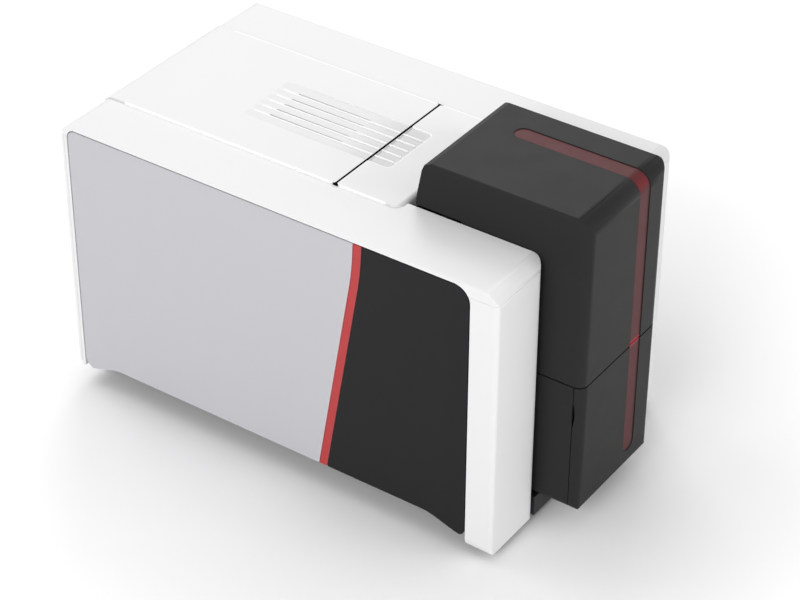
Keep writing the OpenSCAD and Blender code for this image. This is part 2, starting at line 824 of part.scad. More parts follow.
// Steel side plate with a bent foot, roller bores and open slots for the ribbon spools
module chassis_plate(side) {
    x0 = side < 0 ? plate_in_left - plate_t : plate_in_right;
    x1 = x0 + plate_t;
    foot_x0 = side < 0 ? x0 - plate_foot : x0;
    slot_half = journal_r + run_clear;
    color(steel)
        difference() {
            union() {
                slab_x(x0, x1)
                    soft_rect(plate_front_d, plate_rear_d, floor_z, plate_top_z, [0, 0, 6, 6]);
                block(foot_x0, foot_x0 + plate_foot + plate_t, plate_front_d, plate_rear_d,
                    floor_z, floor_z + plate_t);
            }
            for (d = [feed_d, platen_d, back_d])
                bar_x(x0 - over, x1 + over, d, roller_z, shaft_r + run_clear);
            bar_x(x0 - over, x1 + over, feed_d, cleaning_z, cleaning_shaft_r + run_clear);
            for (d = [platen_d - guide_gap, platen_d + guide_gap])
                bar_x(x0 - over, x1 + over, d, guide_z, guide_r);
            for (d = [takeup_d, supply_d]) {
                bar_x(x0 - over, x1 + over, d, spool_z, slot_half);
                block(x0 - over, x1 + over, d - slot_half, d + slot_half, spool_z,
                    plate_top_z + over);
            }
            if (side > 0)
                bar_x(x0 - over, x1 + over, motor_d, motor_z, motor_boss_r + seat);
            // Lightening windows
            for (i = [0 : 1])
                slab_x(x0 - over, x1 + over)
                    translate([takeup_d + 14 + 44 * i, card_z + 26])
                        soft_rect(0, 36, 0, plate_top_z - card_z - 38, [5, 5, 5, 5]);
            for (d = [plate_front_d + 16, plate_front_d + 60, back_d])
                slab_x(x0 - over, x1 + over)
                    translate([d, floor_z + 18]) soft_rect(0, 30, 0, 46, [6, 6, 6, 6]);
        }
}

module left_chassis_plate() chassis_plate(-1);
module right_chassis_plate() chassis_plate(1);

// Cross member at the rear: joins the side walls and carries the lid's hinge ears
module rear_cross_member() {
    d0 = plate_rear_d + seat;
    d1 = rear_face_d - 2;
    color(steel) {
        block(-housing_in_x + 4 + seat, housing_in_x - 4 - seat, d0, d1, cross_z, cross_z + plate_t);
        block(-housing_in_x + 4 + seat, housing_in_x - 4 - seat, d0, d0 + plate_t, cross_z - 16,
            cross_z + plate_t);
        both_sides()
            block(housing_in_x - 4 - seat - plate_t, housing_in_x - seat, d0, d1, cross_z - 16,
                cross_z + plate_t);
        both_sides()
            for (e = lid_ears_x)
                difference() {
                    union() {
                        bar_x(e[0], e[1], lid_axis_d, lid_axis_z, lid_knuckle_r - 0.3);
                        block(e[0], e[1], lid_axis_d - lid_knuckle_r + 0.3, lid_axis_d + 1.2,
                            cross_z, lid_axis_z);
                    }
                    bar_x(e[0] - over, e[1] + over, lid_axis_d, lid_axis_z, lid_pin_r);
                }
    }
}

module lid_hinge_pins() {
    color(steel)
        both_sides()
            bar_x(lid_ears_x[0][0] - 0.6, lid_ears_x[1][1] + 0.6, lid_axis_d, lid_axis_z,
                lid_pin_r);
}

// Lower guide of the card path with windows for the rollers, and the ramp from the magazine
module card_guide() {
    top = card_z - 0.2;
    thick = 2.5;
    half = plate_gap / 2;
    rail_z = top + 2.2;
    ramp_d0 = front_panel_d;
    ramp_d1 = feed_d - 12;
    ramp_t = 1.6;
    color(charcoal) {
        difference() {
            block(path_x - half, path_x + half, plate_front_d - 12, plate_rear_d - 4,
                top - thick, top);
            block(-body_w, path_x - half + 5, plate_front_d - 13, plate_front_d - 1,
                top - thick - over, top + over);
            block(path_x + half - 5, body_w, plate_front_d - 13, plate_front_d - 1,
                top - thick - over, top + over);
            for (d = [feed_d, platen_d, back_d])
                block(path_x - sleeve_half - 1.5, path_x + sleeve_half + 1.5,
                    d - roller_r - 1.5, d + roller_r + 1.5, top - thick - over, top + over);
        }
        for (s = [-1, 1])
            for (span = [[plate_front_d + 4, feed_d - 12], [feed_d + 12, platen_d - 30],
                    [platen_d + 30, back_d - 9], [back_d + 9, plate_rear_d - 8]])
                block(path_x + s * (mag_half + 1) - 1, path_x + s * (mag_half + 1) + 1,
                    span[0], span[1], top, rail_z);
        // Ramp with side cheeks that stand on the guide
        slab_x(path_x - half, path_x + half)
            polygon([[ramp_d0, pick_z - 0.4], [ramp_d1, rail_z + 1.2 + ramp_t],
                [ramp_d1, rail_z + 1.2], [ramp_d0, pick_z - 0.4 - ramp_t]]);
        for (s = [-1, 1])
            slab_x(path_x + s * (half - 1.5) - 1.5, path_x + s * (half - 1.5) + 1.5)
                polygon([[plate_front_d + 1, top - 1], [ramp_d1, top - 1],
                    [ramp_d1, rail_z + 2], [plate_front_d + 1, pick_z - 3]]);
    }
}

// ---- Rollers and belt drive ----

// Steel shaft across both plates, with a toothless belt pulley on its right end
module roller_shaft(d) {
    color(steel) {
        bar_x(plate_in_left - plate_t - shaft_end, pulley_x + belt_w + 2, d, roller_z, shaft_r);
        bar_x(pulley_x, pulley_x + belt_w, d, roller_z, pulley_r);
        for (x = [pulley_x - 1, pulley_x + belt_w])
            bar_x(x, x + 1, d, roller_z, pulley_flange_r);
    }
}

// Rubber sleeve on a shaft
module roller_sleeve(d, tint) {
    color(tint)
        difference() {
            bar_x(path_x - sleeve_half, path_x + sleeve_half, d, roller_z, roller_r);
            bar_x(path_x - sleeve_half - over, path_x + sleeve_half + over, d, roller_z,
                shaft_r + 0.02);
        }
}

module feed_shaft() roller_shaft(feed_d);
module platen_shaft() roller_shaft(platen_d);
module back_shaft() roller_shaft(back_d);
module feed_sleeve() roller_sleeve(feed_d, rubber_grey);
module platen_sleeve() roller_sleeve(platen_d, [0.12, 0.12, 0.13]);
module back_sleeve() roller_sleeve(back_d, rubber_grey);

cleaning_r = 5;
cleaning_shaft_r = 2;
cleaning_z = card_z + 1.2 + cleaning_r;
module cleaning_roller() {
    color([0.16, 0.36, 0.66]) {
        bar_x(path_x - sleeve_half, path_x + sleeve_half, feed_d, cleaning_z, cleaning_r);
        bar_x(plate_in_left - plate_t - shaft_end, plate_in_right + plate_t + shaft_end, feed_d,
            cleaning_z, cleaning_shaft_r);
    }
}

module motor_pulley() {
    color(steel) {
        bar_x(plate_in_right - 2, pulley_x + belt_w + 2, motor_d, motor_z, motor_shaft_r);
        bar_x(pulley_x, pulley_x + belt_w, motor_d, motor_z, motor_pulley_r);
        for (x = [pulley_x - 1, pulley_x + belt_w])
            bar_x(x, x + 1, motor_d, motor_z, motor_pulley_r + 1.4);
    }
}

module drive_motor() {
    half = motor_size / 2;
    x0 = plate_in_right - motor_len;
    color([0.3, 0.3, 0.32])
        difference() {
            union() {
                slab_x(x0, plate_in_right - seat)
                    soft_rect(motor_d - half, motor_d + half, motor_z - half, motor_z + half,
                        [4, 4, 4, 4]);
                bar_x(plate_in_right - over, plate_in_right + 1.6, motor_d, motor_z,
                    motor_boss_r);
            }
            bar_x(plate_in_right - 6, plate_in_right + 4, motor_d, motor_z,
                motor_shaft_r + run_clear);
        }
}

// Outline of the belt at a distance from the pulleys
module belt_outline(away) {
    hull() {
        translate([feed_d, roller_z]) circle(r = pulley_r + away);
        translate([back_d, roller_z]) circle(r = pulley_r + away);
        translate([motor_d, motor_z]) circle(r = motor_pulley_r + away);
    }
}

module drive_belt() {
    color(black)
        slab_x(pulley_x + 0.3, pulley_x + belt_w - 0.3)
            difference() {
                belt_outline(belt_clear + belt_t);
                belt_outline(belt_clear);
            }
}

// ---- Ribbon ----

module spool(d) {
    core_r = 9;
    half = 33;
    color([0.16, 0.3, 0.6]) {
        bar_x(plate_in_left - plate_t - shaft_end, plate_in_right + plate_t + shaft_end, d,
            spool_z, journal_r);
        bar_x(path_x - half, path_x + half, d, spool_z, core_r);
        for (x = [path_x - half - 1.5, path_x + half])
            bar_x(x, x + 1.5, d, spool_z, flange_r);
    }
}

module film_roll(d, r) {
    core_r = 9.02;
    difference() {
        bar_x(path_x - film_half, path_x + film_half, d, spool_z, r);
        bar_x(path_x - film_half - over, path_x + film_half + over, d, spool_z, core_r);
    }
}

module supply_spool() spool(supply_d);
module takeup_spool() spool(takeup_d);
module supply_roll() color([0.25, 0.2, 0.35]) film_roll(supply_d, supply_roll_r);
module takeup_roll() color([0.25, 0.2, 0.35]) film_roll(takeup_d, takeup_roll_r);

module ribbon_guide_bars() {
    color(steel)
        for (d = [platen_d - guide_gap, platen_d + guide_gap])
            bar_x(plate_in_left - plate_t, plate_in_right + plate_t, d, guide_z, guide_r);
}

// Thin film from the point p at an angle, in depth and height
module film_run(p, angle, length) {
    translate(p) rotate(angle) square([length, film_t]);
}

// The film runs flat between the guide bars and rises to just under each roll
module ribbon_film() {
    low = [platen_d + guide_gap + guide_r, film_z];
    front_low = [platen_d - guide_gap - guide_r, film_z];
    supply_r = supply_roll_r + 0.4;
    takeup_r = takeup_roll_r + 0.4;
    to_supply = [supply_d, spool_z] - low;
    to_takeup = [front_low[0] - takeup_d, spool_z - front_low[1]];
    supply_angle = atan2(to_supply[1], to_supply[0]) - asin(supply_r / norm(to_supply));
    takeup_angle = atan2(to_takeup[1], to_takeup[0]) - asin(takeup_r / norm(to_takeup));
    supply_len = sqrt(pow(norm(to_supply), 2) - supply_r * supply_r);
    takeup_len = sqrt(pow(norm(to_takeup), 2) - takeup_r * takeup_r);
    color([0.2, 0.16, 0.28])
        slab_x(path_x - film_half, path_x + film_half) {
            translate([front_low[0] - film_t, film_z])
                square([low[0] - front_low[0] + 2 * film_t, film_t]);
            film_run(low, supply_angle, supply_len);
            translate([front_low[0], film_z]) mirror([1, 0])
                film_run([0, 0], takeup_angle, takeup_len);
        }
}

// ---- Front module ----

// Side profile of the feeder cover, drawn smaller by a margin
module cover_profile(m) {
    r = max(cover_front_r - m, 0.5);
    d0 = -module_out + m;
    foot_d = cover_rear_d - m;
    lean_d = foot_d - cover_lean;
    top = module_top_z - m;
    rear_r = 6 - min(m, 4);
    difference() {
        soft_rect(d0, foot_d, seam_z + seam_gap / 2 - (m > 0 ? over : 0), top, [0, 0, 0, r]);
        polygon([[foot_d, strip_z + 1], [foot_d + over, strip_z + 1], [foot_d + over, top + over],
            [lean_d - rear_r, top + over], [lean_d - rear_r, top],
            [lean_d - rear_r * 0.3, top - rear_r * 0.3], [lean_d, top - rear_r]]);
    }
}

// Outer form of the cover, drawn smaller by a margin
module cover_form(m) {
    x0 = -module_left + m;
    x1 = module_right - m;
    corner = max(module_corner_r - m, 1);
    edge = max(cover_edge_r - m, 0.6);
    intersection() {
        slab_x(x0, x1) cover_profile(m);
        slab_z(0, module_top_z + over)
            soft_rect(x0, x1, -module_out + m, cover_rear_d - m, [corner, corner, edge, edge]);
        slab_y(-module_out - over, cover_rear_d + over)
            soft_rect(x0, x1, 0, module_top_z - m, [0, 0, edge, edge]);
    }
}

groove_depth = 1.6;
light_inset = 0.6;

// Plan of the light strip's path on the top and front of the cover
module light_plan(grow) {
    half = light_w / 2 + grow;
    translate([light_x - half, -module_out - over])
        square([2 * half, module_out + light_rear_d - half + over]);
    translate([light_x, light_rear_d - half]) circle(r = half);
}

// Skin of the cover profile between two margins, cut to the strip's path
module light_band(m0, m1, grow) {
    intersection() {
        slab_x(light_x - light_w, light_x + light_w)
            difference() {
                light_profile(m0);
                light_profile(m1);
            }
        slab_z(seam_z + seam_gap / 2 - (grow > 0 ? over : 0), module_top_z + over) light_plan(grow);
    }
}

// The cover's profile without its rear part, so that the band has only a top and a front
module light_profile(m) {
    r = max(cover_front_r - m, 0.5);
    soft_rect(-module_out + m, body_d, 0, module_top_z - m, [0, 0, 0, r]);
}

module feeder_cover() {
    boss_w = 4;
    x0 = -module_left + cover_wall;
    x1 = module_right - cover_wall;
    color(dark_shell) {
        difference() {
            cover_form(0);
            cover_form(cover_wall);
            light_band(-over, groove_depth, 0.1);
            // Below the top shell the sides end behind the magazine
            block(-body_w, body_w, cover_skirt_d, body_d, 0, strip_z + 1);
        }
        for (x = [x0 - 0.5, x1 - boss_w])
            difference() {
                bar_x(x, x + boss_w + 0.5, cover_axis_d, cover_axis_z, cover_ear_r + 0.5);
                bar_x(x - over, x + boss_w + over, cover_axis_d, cover_axis_z,
                    cover_pin_r + run_clear);
            }
    }
}

module upper_light_strip() {
    color([0.5, 0.16, 0.18]) light_band(light_inset, groove_depth, 0);
}

// Outer form of the door, drawn smaller by a margin and open at the rear
module door_form(m) {
    corner = module_corner_r - m;
    low_r = door_corner_r - m;
    x0 = -module_left + m;
    x1 = module_right - m;
    rear_d = door_rear_d + 2 * m;
    z0 = hopper_bottom_z + m;
    intersection() {
        slab_z(z0, seam_z - seam_gap / 2 + m)
            soft_rect(x0, x1, -module_out + m, rear_d, [corner, corner, 0, 0]);
        slab_x(x0, x1)
            soft_rect(-module_out + m, rear_d, z0, seam_z + m, [3, 0, 0, 0]);
        slab_y(-module_out - over, rear_d)
            soft_rect(x0, x1, z0, seam_z + m, [low_r, low_r, 0, 0]);
    }
}

door_knuckles_x = [-module_left + 14, module_right - 14 - door_knuckle_w];

module hopper_door() {
    half = light_w / 2 + 0.1;
    reach = door_ear_w + 2 * door_ear_gap;
    notch_depth = 1.2;
    notch_r = 42;
    notch_z = seam_z - 22;
    color(dark_shell) {
        difference() {
            door_form(0);
            door_form(cover_wall);
            slab_y(-module_out - over, -module_out + groove_depth) {
                translate([light_x - half, light_low_z + half])
                    square([2 * half, seam_z - light_low_z]);
                translate([light_x, light_low_z + half]) circle(r = half);
            }
            // Finger notches in the edges of the side walls
            slab_x(-body_w, body_w)
                translate([door_rear_d + notch_r - notch_depth, notch_z]) circle(r = notch_r);
            // The lower lip ends before the hinge axis and leaves room for the hinges
            block(-module_left + cover_wall, module_right - cover_wall, door_axis_d - 1, 0,
                0, hopper_bottom_z + cover_wall + over);
            for (x = door_knuckles_x)
                block(x - reach, x + door_knuckle_w + reach, -module_out + cover_wall, 0,
                    0, door_axis_z + door_knuckle_r + over);
        }
        for (x = door_knuckles_x)
            difference() {
                union() {
                    bar_x(x, x + door_knuckle_w, door_axis_d, door_axis_z, door_knuckle_r);
                    block(x, x + door_knuckle_w, -module_out + 2, door_axis_d,
                        door_axis_z, door_axis_z + door_knuckle_r);
                }
                bar_x(x - over, x + door_knuckle_w + over, door_axis_d, door_axis_z,
                    door_pin_r + run_clear);
            }
    }
}

module lower_light_strip() {
    half = light_w / 2;
    color([0.5, 0.16, 0.18])
        slab_y(-module_out + light_inset, -module_out + groove_depth) {
            translate([light_x - half, light_low_z + half])
                square([2 * half, seam_z - seam_gap / 2 - light_low_z - half]);
            translate([light_x, light_low_z + half]) circle(r = half);
        }
}

// Fixed bin behind the door, open at the top and the front
module hopper_tray() {
    top = seam_z - seam_gap / 2;
    rear_d = hopper_rear_d;
    front_d = door_rear_d + 0.5;
    rear_top_z = hopper_rear_z;
    ear_rear_d = door_axis_d + door_sweep_r + 8;
    rib = 1.6;
    low_r = door_corner_r;
    in_r = low_r - cover_wall;
    in_x0 = -module_left + cover_wall;
    in_x1 = module_right - cover_wall;
    in_z = hopper_bottom_z + cover_wall;
    color(dark_shell) {
        intersection() {
            slab_y(front_d, rear_d)
                soft_rect(-module_left, module_right, hopper_bottom_z, top, [low_r, low_r, 0, 0]);
            union() {
                difference() {
                    block(-module_left, module_right, front_d, rear_d, hopper_bottom_z, top);
                    slab_y(front_d - over, rear_d - cover_wall)
                        soft_rect(in_x0, in_x1, in_z, top + over, [in_r, in_r, 0, 0]);
                    block(in_x0, in_x1, rear_d - 2 * cover_wall, rear_d + over, rear_top_z,
                        top + over);
                    // Room for the door's lower edge
                    intersection() {
                        bar_x(-body_w, body_w, door_axis_d, door_axis_z, door_sweep_r + swing);
                        block(-body_w, body_w, -body_w, body_d, 0, door_axis_z);
                    }
                    // The side walls end under the feeder cover's skirts
                    block(-module_left - over, module_right + over, cover_skirt_d, rear_d + over,
                        rear_top_z, top + over);
                }
                // Fins on the side walls that guide the card stack
                for (d = [4, 32, 60]) {
                    block(-module_left + 1, path_x - mag_half, d, d + rib, hopper_bottom_z + 1,
                        card_z - 12);
                    block(path_x + mag_half, module_right - 1, d, d + rib, hopper_bottom_z + 1,
                        card_z - 12);
                }
            }
        }
        // Ears for the door's hinge pins
        for (x = door_knuckles_x)
            for (e = [x - door_ear_w - door_ear_gap, x + door_knuckle_w + door_ear_gap])
                difference() {
                    union() {
                        bar_x(e, e + door_ear_w, door_axis_d, door_axis_z, door_knuckle_r);
                        block(e, e + door_ear_w, door_axis_d, ear_rear_d, door_axis_z,
                            door_axis_z + door_knuckle_r);
                        block(e, e + door_ear_w, door_axis_d + door_sweep_r + 1, ear_rear_d,
                            hopper_bottom_z + 1, door_axis_z + 1);
                    }
                    bar_x(e - over, e + door_ear_w + over, door_axis_d, door_axis_z, door_pin_r);
                }
    }
}

module door_hinge_pins() {
    color(steel)
        for (x = door_knuckles_x)
            bar_x(x - 3.6, x + door_knuckle_w + 3.6, door_axis_d, door_axis_z, door_pin_r);
}

// Magazine in the feeder: floor, side guides, slotted rear wall, and the cover's hinge ears
mag_post_x = mag_half + mag_wall + 3;
module magazine_frame() {
    floor_t = 3;
    rear_end_d = front_panel_d - seat;
    card_slit = 1.4;
    tongue_w = 9;
    window_half = 17;
    cheek_x = mag_half + mag_wall;
    color(charcoal) {
        // Floor with the window for the pick roller
        difference() {
            union() {
                block(path_x - mag_half - mag_wall, path_x + mag_half + mag_wall,
                    mag_front_d - mag_wall, rear_end_d, pick_z - floor_t, pick_z);
                block(-channel_left + seat, channel_right - seat, mag_rear_d + 6, rear_end_d,
                    pick_z - floor_t, pick_z);
            }
            block(path_x - window_half, path_x + window_half, pick_d - pick_r - 1,
                pick_d + pick_r + 1, pick_z - floor_t - over, pick_z + over);
        }
        // Side guides, lower at the front
        for (s = [-1, 1])
            slab_x(path_x + s * (mag_half + mag_wall / 2) - mag_wall / 2,
                path_x + s * (mag_half + mag_wall / 2) + mag_wall / 2)
                polygon([[mag_front_d + 14, pick_z - 1], [mag_rear_d + mag_wall, pick_z - 1],
                    [mag_rear_d + mag_wall, mag_top_z], [mag_rear_d - 26, mag_top_z],
                    [mag_rear_d - 40, pick_z + 30], [mag_front_d + 20, pick_z + 24],
                    [mag_front_d + 14, pick_z + 16]]);
        // Front posts that stop the stack
        for (s = [-1, 1])
            difference() {
                block(path_x + s * (mag_half - 3) - 3 - mag_wall, path_x + s * (mag_half - 3) + 3 + mag_wall,
                    mag_front_d - mag_wall, mag_front_d + 8, pick_z - 1, mag_top_z);
                block(path_x - mag_half, path_x + mag_half, mag_front_d, mag_front_d + 9,
                    pick_z - 2, mag_top_z + over);
                if (s < 0) block(-body_w, path_x - mag_half - mag_wall, -body_d, body_d, 0,
                    mag_top_z + 2 * over);
                if (s > 0) block(path_x + mag_half + mag_wall, body_w, -body_d, body_d, 0,
                    mag_top_z + 2 * over);
            }
        // Rear wall over the slit, with the slot for the weight's tongue
        difference() {
            block(path_x - mag_half - 1, path_x + mag_half + 1, mag_rear_d,
                mag_rear_d + mag_wall, pick_z + card_slit, mag_top_z);
            block(path_x - tongue_w / 2, path_x + tongue_w / 2, mag_rear_d - over,
                mag_rear_d + mag_wall + over, pick_z + card_slit - over, mag_top_z + over);
        }
        // Cheeks under the floor that carry the pick roller
        for (s = [-1, 1])
            difference() {
                block(path_x + s * (cheek_x + 1.25) - 1.25, path_x + s * (cheek_x + 1.25) + 1.25,
                    pick_d - 9, pick_d + 9, pick_z - 12, pick_z + 6);
                bar_x(path_x + s * (cheek_x + 1.25) - 3, path_x + s * (cheek_x + 1.25) + 3,
                    pick_d, pick_z - pick_r - 0.1, pick_shaft_r + run_clear);
            }
        // Posts and ears for the cover's hinge rod
        for (s = [-1, 1])
            difference() {
                union() {
                    block(path_x + s * mag_post_x - 1.5, path_x + s * mag_post_x + 1.5,
                        cover_axis_d - 16, cover_axis_d - 5, pick_z - 1, cover_axis_z + cover_ear_r);
                    block(path_x + s * mag_post_x - 1.5, path_x + s * mag_post_x + 1.5,
                        cover_axis_d - 6, cover_axis_d, cover_axis_z - cover_ear_r,
                        cover_axis_z + cover_ear_r);
                    bar_x(path_x + s * mag_post_x - 1.5, path_x + s * mag_post_x + 1.5,
                        cover_axis_d, cover_axis_z, cover_ear_r);
                }
                bar_x(path_x + s * mag_post_x - 3, path_x + s * mag_post_x + 3, cover_axis_d,
                    cover_axis_z, cover_pin_r);
            }
        // Cross wall that ties the posts to the side guides
        block(path_x - mag_post_x - 1, path_x + mag_post_x + 1, cover_axis_d - 16,
            cover_axis_d - 16 + mag_wall, pick_z + 4, pick_z + 60);
        // Legs that stand on the hopper's rear wall
        for (s = [-1, 1])
            block(path_x + s * mag_post_x - 3, path_x + s * mag_post_x + 3, hopper_rear_d - 2,
                hopper_rear_d, hopper_rear_z + seat, pick_z - 1);
    }
}

module feeder_hinge_rod() {
    color(steel)
        bar_x(-module_left + cover_wall + 0.5, module_right - cover_wall - 0.5,
            cover_axis_d, cover_axis_z, cover_pin_r);
}

module card_weight() {
    z0 = pick_z + 0.3;
    half = card_w / 2 - 0.4;
    tongue_w = 8;
    color(charcoal) {
        difference() {
            slab_z(z0, z0 + 7)
                soft_rect(path_x - half, path_x + half, mag_front_d + 1, mag_rear_d - 0.5,
                    [3, 3, 1, 1]);
            slab_z(z0 + 3, z0 + 8)
                soft_rect(path_x - half + 5, path_x + half - 5, mag_front_d + 6, mag_rear_d - 6,
                    [3, 3, 3, 3]);
        }
        block(path_x - tongue_w / 2, path_x + tongue_w / 2, mag_rear_d - 1,
            mag_rear_d + mag_wall + 0.8, z0 + 1.6, z0 + 7);
        block(path_x - tongue_w, path_x + tongue_w, mag_rear_d + mag_wall + 0.4,
            mag_rear_d + mag_wall + 2.4, z0 + 1.6, z0 + 7);
        // Finger grip across the pan
        block(path_x - 1.5, path_x + 1.5, mag_front_d + 20, mag_rear_d - 20, z0 + 2, z0 + 14);
    }
}

module pick_shaft() {
    reach = mag_half + mag_wall + 3.3;
    color(steel)
        bar_x(path_x - reach, path_x + reach, pick_d, pick_z - pick_r - 0.1, pick_shaft_r);
}

module pick_tyre() {
    color(rubber_grey)
        difference() {
            bar_x(path_x - 15, path_x + 15, pick_d, pick_z - pick_r - 0.1, pick_r);
            bar_x(path_x - 16, path_x + 16, pick_d, pick_z - pick_r - 0.1, pick_shaft_r + 0.02);
        }
}

// ---- Electronics ----

// Board on the left wall, as [front, rear] depths and [low, high] heights
board_t = 1.6;
board_d = [128, rear_face_d - 42];
board_z = [40, 150];
module main_board() {
    x0 = -housing_in_x + 8;
    x1 = x0 + board_t;
    edge = 6;
    color([0.1, 0.34, 0.2]) {
        block(x0, x1, board_d[0], board_d[1], board_z[0], board_z[1]);
        for (d = [board_d[0] + edge, board_d[1] - edge])
            for (z = [board_z[0] + edge, board_z[1] - edge])
                bar_x(-housing_in_x + seat, x0, d, z, 3);
    }
    color(black)
        translate([x1, col_y + board_d[0], board_z[0]]) {
            translate([0, 42, 40]) cube([2.4, 28, 28]);
            translate([0, 134, 20]) cube([9.4, 28, 14]);
            translate([0, 12, 20]) cube([7.4, 10, 60]);
        }
    color(steel)
        for (d = [87, 104])
            bar_x(x1, x1 + 14.4, board_d[0] + d, board_z[1] - 30, 5);
}

module fan_frame() {
    half = fan_size / 2;
    d0 = rear_face_d - 11;
    d1 = rear_face_d - seat;
    color(black) {
        difference() {
            slab_y(d0, d1)
                soft_rect(fan_x - half, fan_x + half, fan_z - half, fan_z + half, [3, 3, 3, 3]);
            translate([fan_x, col_y + d0 - over, fan_z]) rotate([-90, 0, 0])
                cylinder(h = 14, r = fan_r);
        }
        // Struts and hub on the outer side
        for (a = [45, 135, 225, 315])
            translate([fan_x, col_y + d1, fan_z]) rotate([90, 0, 0]) rotate(a)
                translate([6, -1, 0]) cube([fan_r - 5, 2, 1.6]);
        translate([fan_x, col_y + d1, fan_z]) rotate([90, 0, 0]) cylinder(h = 1.6, r = 8);
        translate([fan_x, col_y + d1, fan_z]) rotate([90, 0, 0]) cylinder(h = 7, r = 1.5);
    }
}

module fan_rotor() {
    d1 = rear_face_d - seat - 2.2;
    blades = 7;
    color(charcoal)
        translate([fan_x, col_y + d1, fan_z]) rotate([90, 0, 0]) {
            difference() {
                cylinder(h = 7.6, r = 8);
                translate([0, 0, -over]) cylinder(h = 6.2 + over, r = 1.5 + run_clear);
            }
            for (i = [0 : blades - 1])
                rotate(i * 360 / blades) translate([7, 0, 3.6]) rotate([38, 0, 0])
                    translate([0, -3.8, -0.6]) cube([10.2, 7.6, 1.2]);
        }
}

base_tray();
rubber_feet();
left_column();
right_column();
top_shell();
front_top_panel();
left_side_housing();
right_side_housing();
left_front_panel();
left_accent_strip();
left_rear_panel();
right_front_panel();
right_accent_strip();
right_rear_panel();
rear_panel();
power_inlet();
usb_port();
network_port();
left_chassis_plate();
right_chassis_plate();
rear_cross_member();
card_guide();
magazine_frame();
hopper_tray();
feeder_hinge_rod();
lid_hinge_pins();
door_hinge_pins();
ribbon_guide_bars();
ribbon_film();
drive_motor();
drive_belt();
main_board();
fan_frame();
lid();
lid_frame();
head_bracket();
heat_sink();
print_head();
feeder_cover();
upper_light_strip();
hopper_door();
lower_light_strip();
card_weight();
pick_shaft();
pick_tyre();
feed_shaft();
feed_sleeve();
platen_shaft();
platen_sleeve();
back_shaft();
back_sleeve();
cleaning_roller();
supply_spool();
supply_roll();
takeup_spool();
takeup_roll();
motor_pulley();
fan_rotor();
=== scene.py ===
"""Finish, light and camera for the desktop card printer."""

import json
import math

import bmesh
import bpy
from mathutils import Matrix, Vector


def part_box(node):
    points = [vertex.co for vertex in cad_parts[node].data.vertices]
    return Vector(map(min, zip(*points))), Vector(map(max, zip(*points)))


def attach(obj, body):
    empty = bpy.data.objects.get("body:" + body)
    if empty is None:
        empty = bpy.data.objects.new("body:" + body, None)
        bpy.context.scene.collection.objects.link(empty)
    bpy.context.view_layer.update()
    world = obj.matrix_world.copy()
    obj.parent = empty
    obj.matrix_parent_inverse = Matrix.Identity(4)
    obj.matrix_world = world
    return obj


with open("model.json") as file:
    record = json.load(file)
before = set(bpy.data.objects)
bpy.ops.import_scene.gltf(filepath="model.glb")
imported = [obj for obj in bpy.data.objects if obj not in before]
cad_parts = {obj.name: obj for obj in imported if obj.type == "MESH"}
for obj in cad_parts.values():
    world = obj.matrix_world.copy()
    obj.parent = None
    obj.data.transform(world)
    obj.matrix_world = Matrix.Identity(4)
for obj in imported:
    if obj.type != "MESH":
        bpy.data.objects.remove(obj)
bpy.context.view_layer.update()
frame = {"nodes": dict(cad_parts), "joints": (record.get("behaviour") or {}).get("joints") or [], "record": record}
NODES = frame["nodes"]
RECORD = frame["record"]
# A point on the axis of each body that turns, in metres
HINGE_AT = {joint["child"]: joint["pos_m"] for joint in frame["joints"] if "pos_m" in joint}

# ---- Measures from the frame, in mm ----
X, DEPTH, Z = range(3)
# Depths start at the faces of the front columns, and the origin lies this far behind them
ORIGIN_DEPTH = round(-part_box("left_column")[0][DEPTH] * 1000, 3)


def extent(node, axis):
    """Lowest and highest X, depth or Z of a node at rest."""
    shift = ORIGIN_DEPTH if axis == DEPTH else 0
    return [round(corner[axis] * 1000 + shift, 3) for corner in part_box(node)]


def at(x, depth, z):
    """Point in metres from X, depth and Z in mm."""
    return Vector((x / 1000, (depth - ORIGIN_DEPTH) / 1000, z / 1000))


# ---- Camera ----
CAMERA_AT = (-1.1291, -0.7970, 1.0672)
CAMERA_AZIMUTH = math.radians(-55.251)
CAMERA_ELEVATION = math.radians(35.432)
CAMERA_ROLL = math.radians(0.236)
LENS_MM = 113.56
SENSOR_MM = 36.0
CLIP_END = 20


def add_camera():
    back = Vector((math.sin(CAMERA_AZIMUTH) * math.cos(CAMERA_ELEVATION),
                   -math.cos(CAMERA_AZIMUTH) * math.cos(CAMERA_ELEVATION),
                   math.sin(CAMERA_ELEVATION)))
    level = (-back).cross(Vector((0, 0, 1))).normalized()
    upright = level.cross(-back)
    right = math.cos(CAMERA_ROLL) * level + math.sin(CAMERA_ROLL) * upright
    up = math.cos(CAMERA_ROLL) * upright - math.sin(CAMERA_ROLL) * level
    data = bpy.data.cameras.new("camera")
    data.lens = LENS_MM
    data.sensor_width = SENSOR_MM
    data.clip_end = CLIP_END
    camera = bpy.data.objects.new("camera", data)
    bpy.context.scene.collection.objects.link(camera)
    turn = Matrix((right, up, back)).transposed().to_4x4()
    camera.matrix_world = Matrix.Translation(CAMERA_AT) @ turn
    bpy.context.scene.camera = camera


# ---- Shader node helpers ----
def new_material(name):
    made = bpy.data.materials.new(name)
    made.use_nodes = True
    tree = made.node_tree
    return made, tree, tree.nodes["Principled BSDF"]


def object_place(tree):
    """Coordinates in the part's own frame, in metres."""
    return tree.nodes.new("ShaderNodeTexCoord").outputs["Object"]


def object_axes(tree):
    axes = tree.nodes.new("ShaderNodeSeparateXYZ")
    tree.links.new(object_place(tree), axes.inputs["Vector"])
    return axes.outputs


def combine(tree, operation, *values):
    """Math node on one or two values, each a socket or a number."""
    node = tree.nodes.new("ShaderNodeMath")
    node.operation = operation
    for value, socket in zip(values, node.inputs):
        if isinstance(value, float):
            socket.default_value = value
        else:
            tree.links.new(value, socket)
    return node.outputs["Value"]


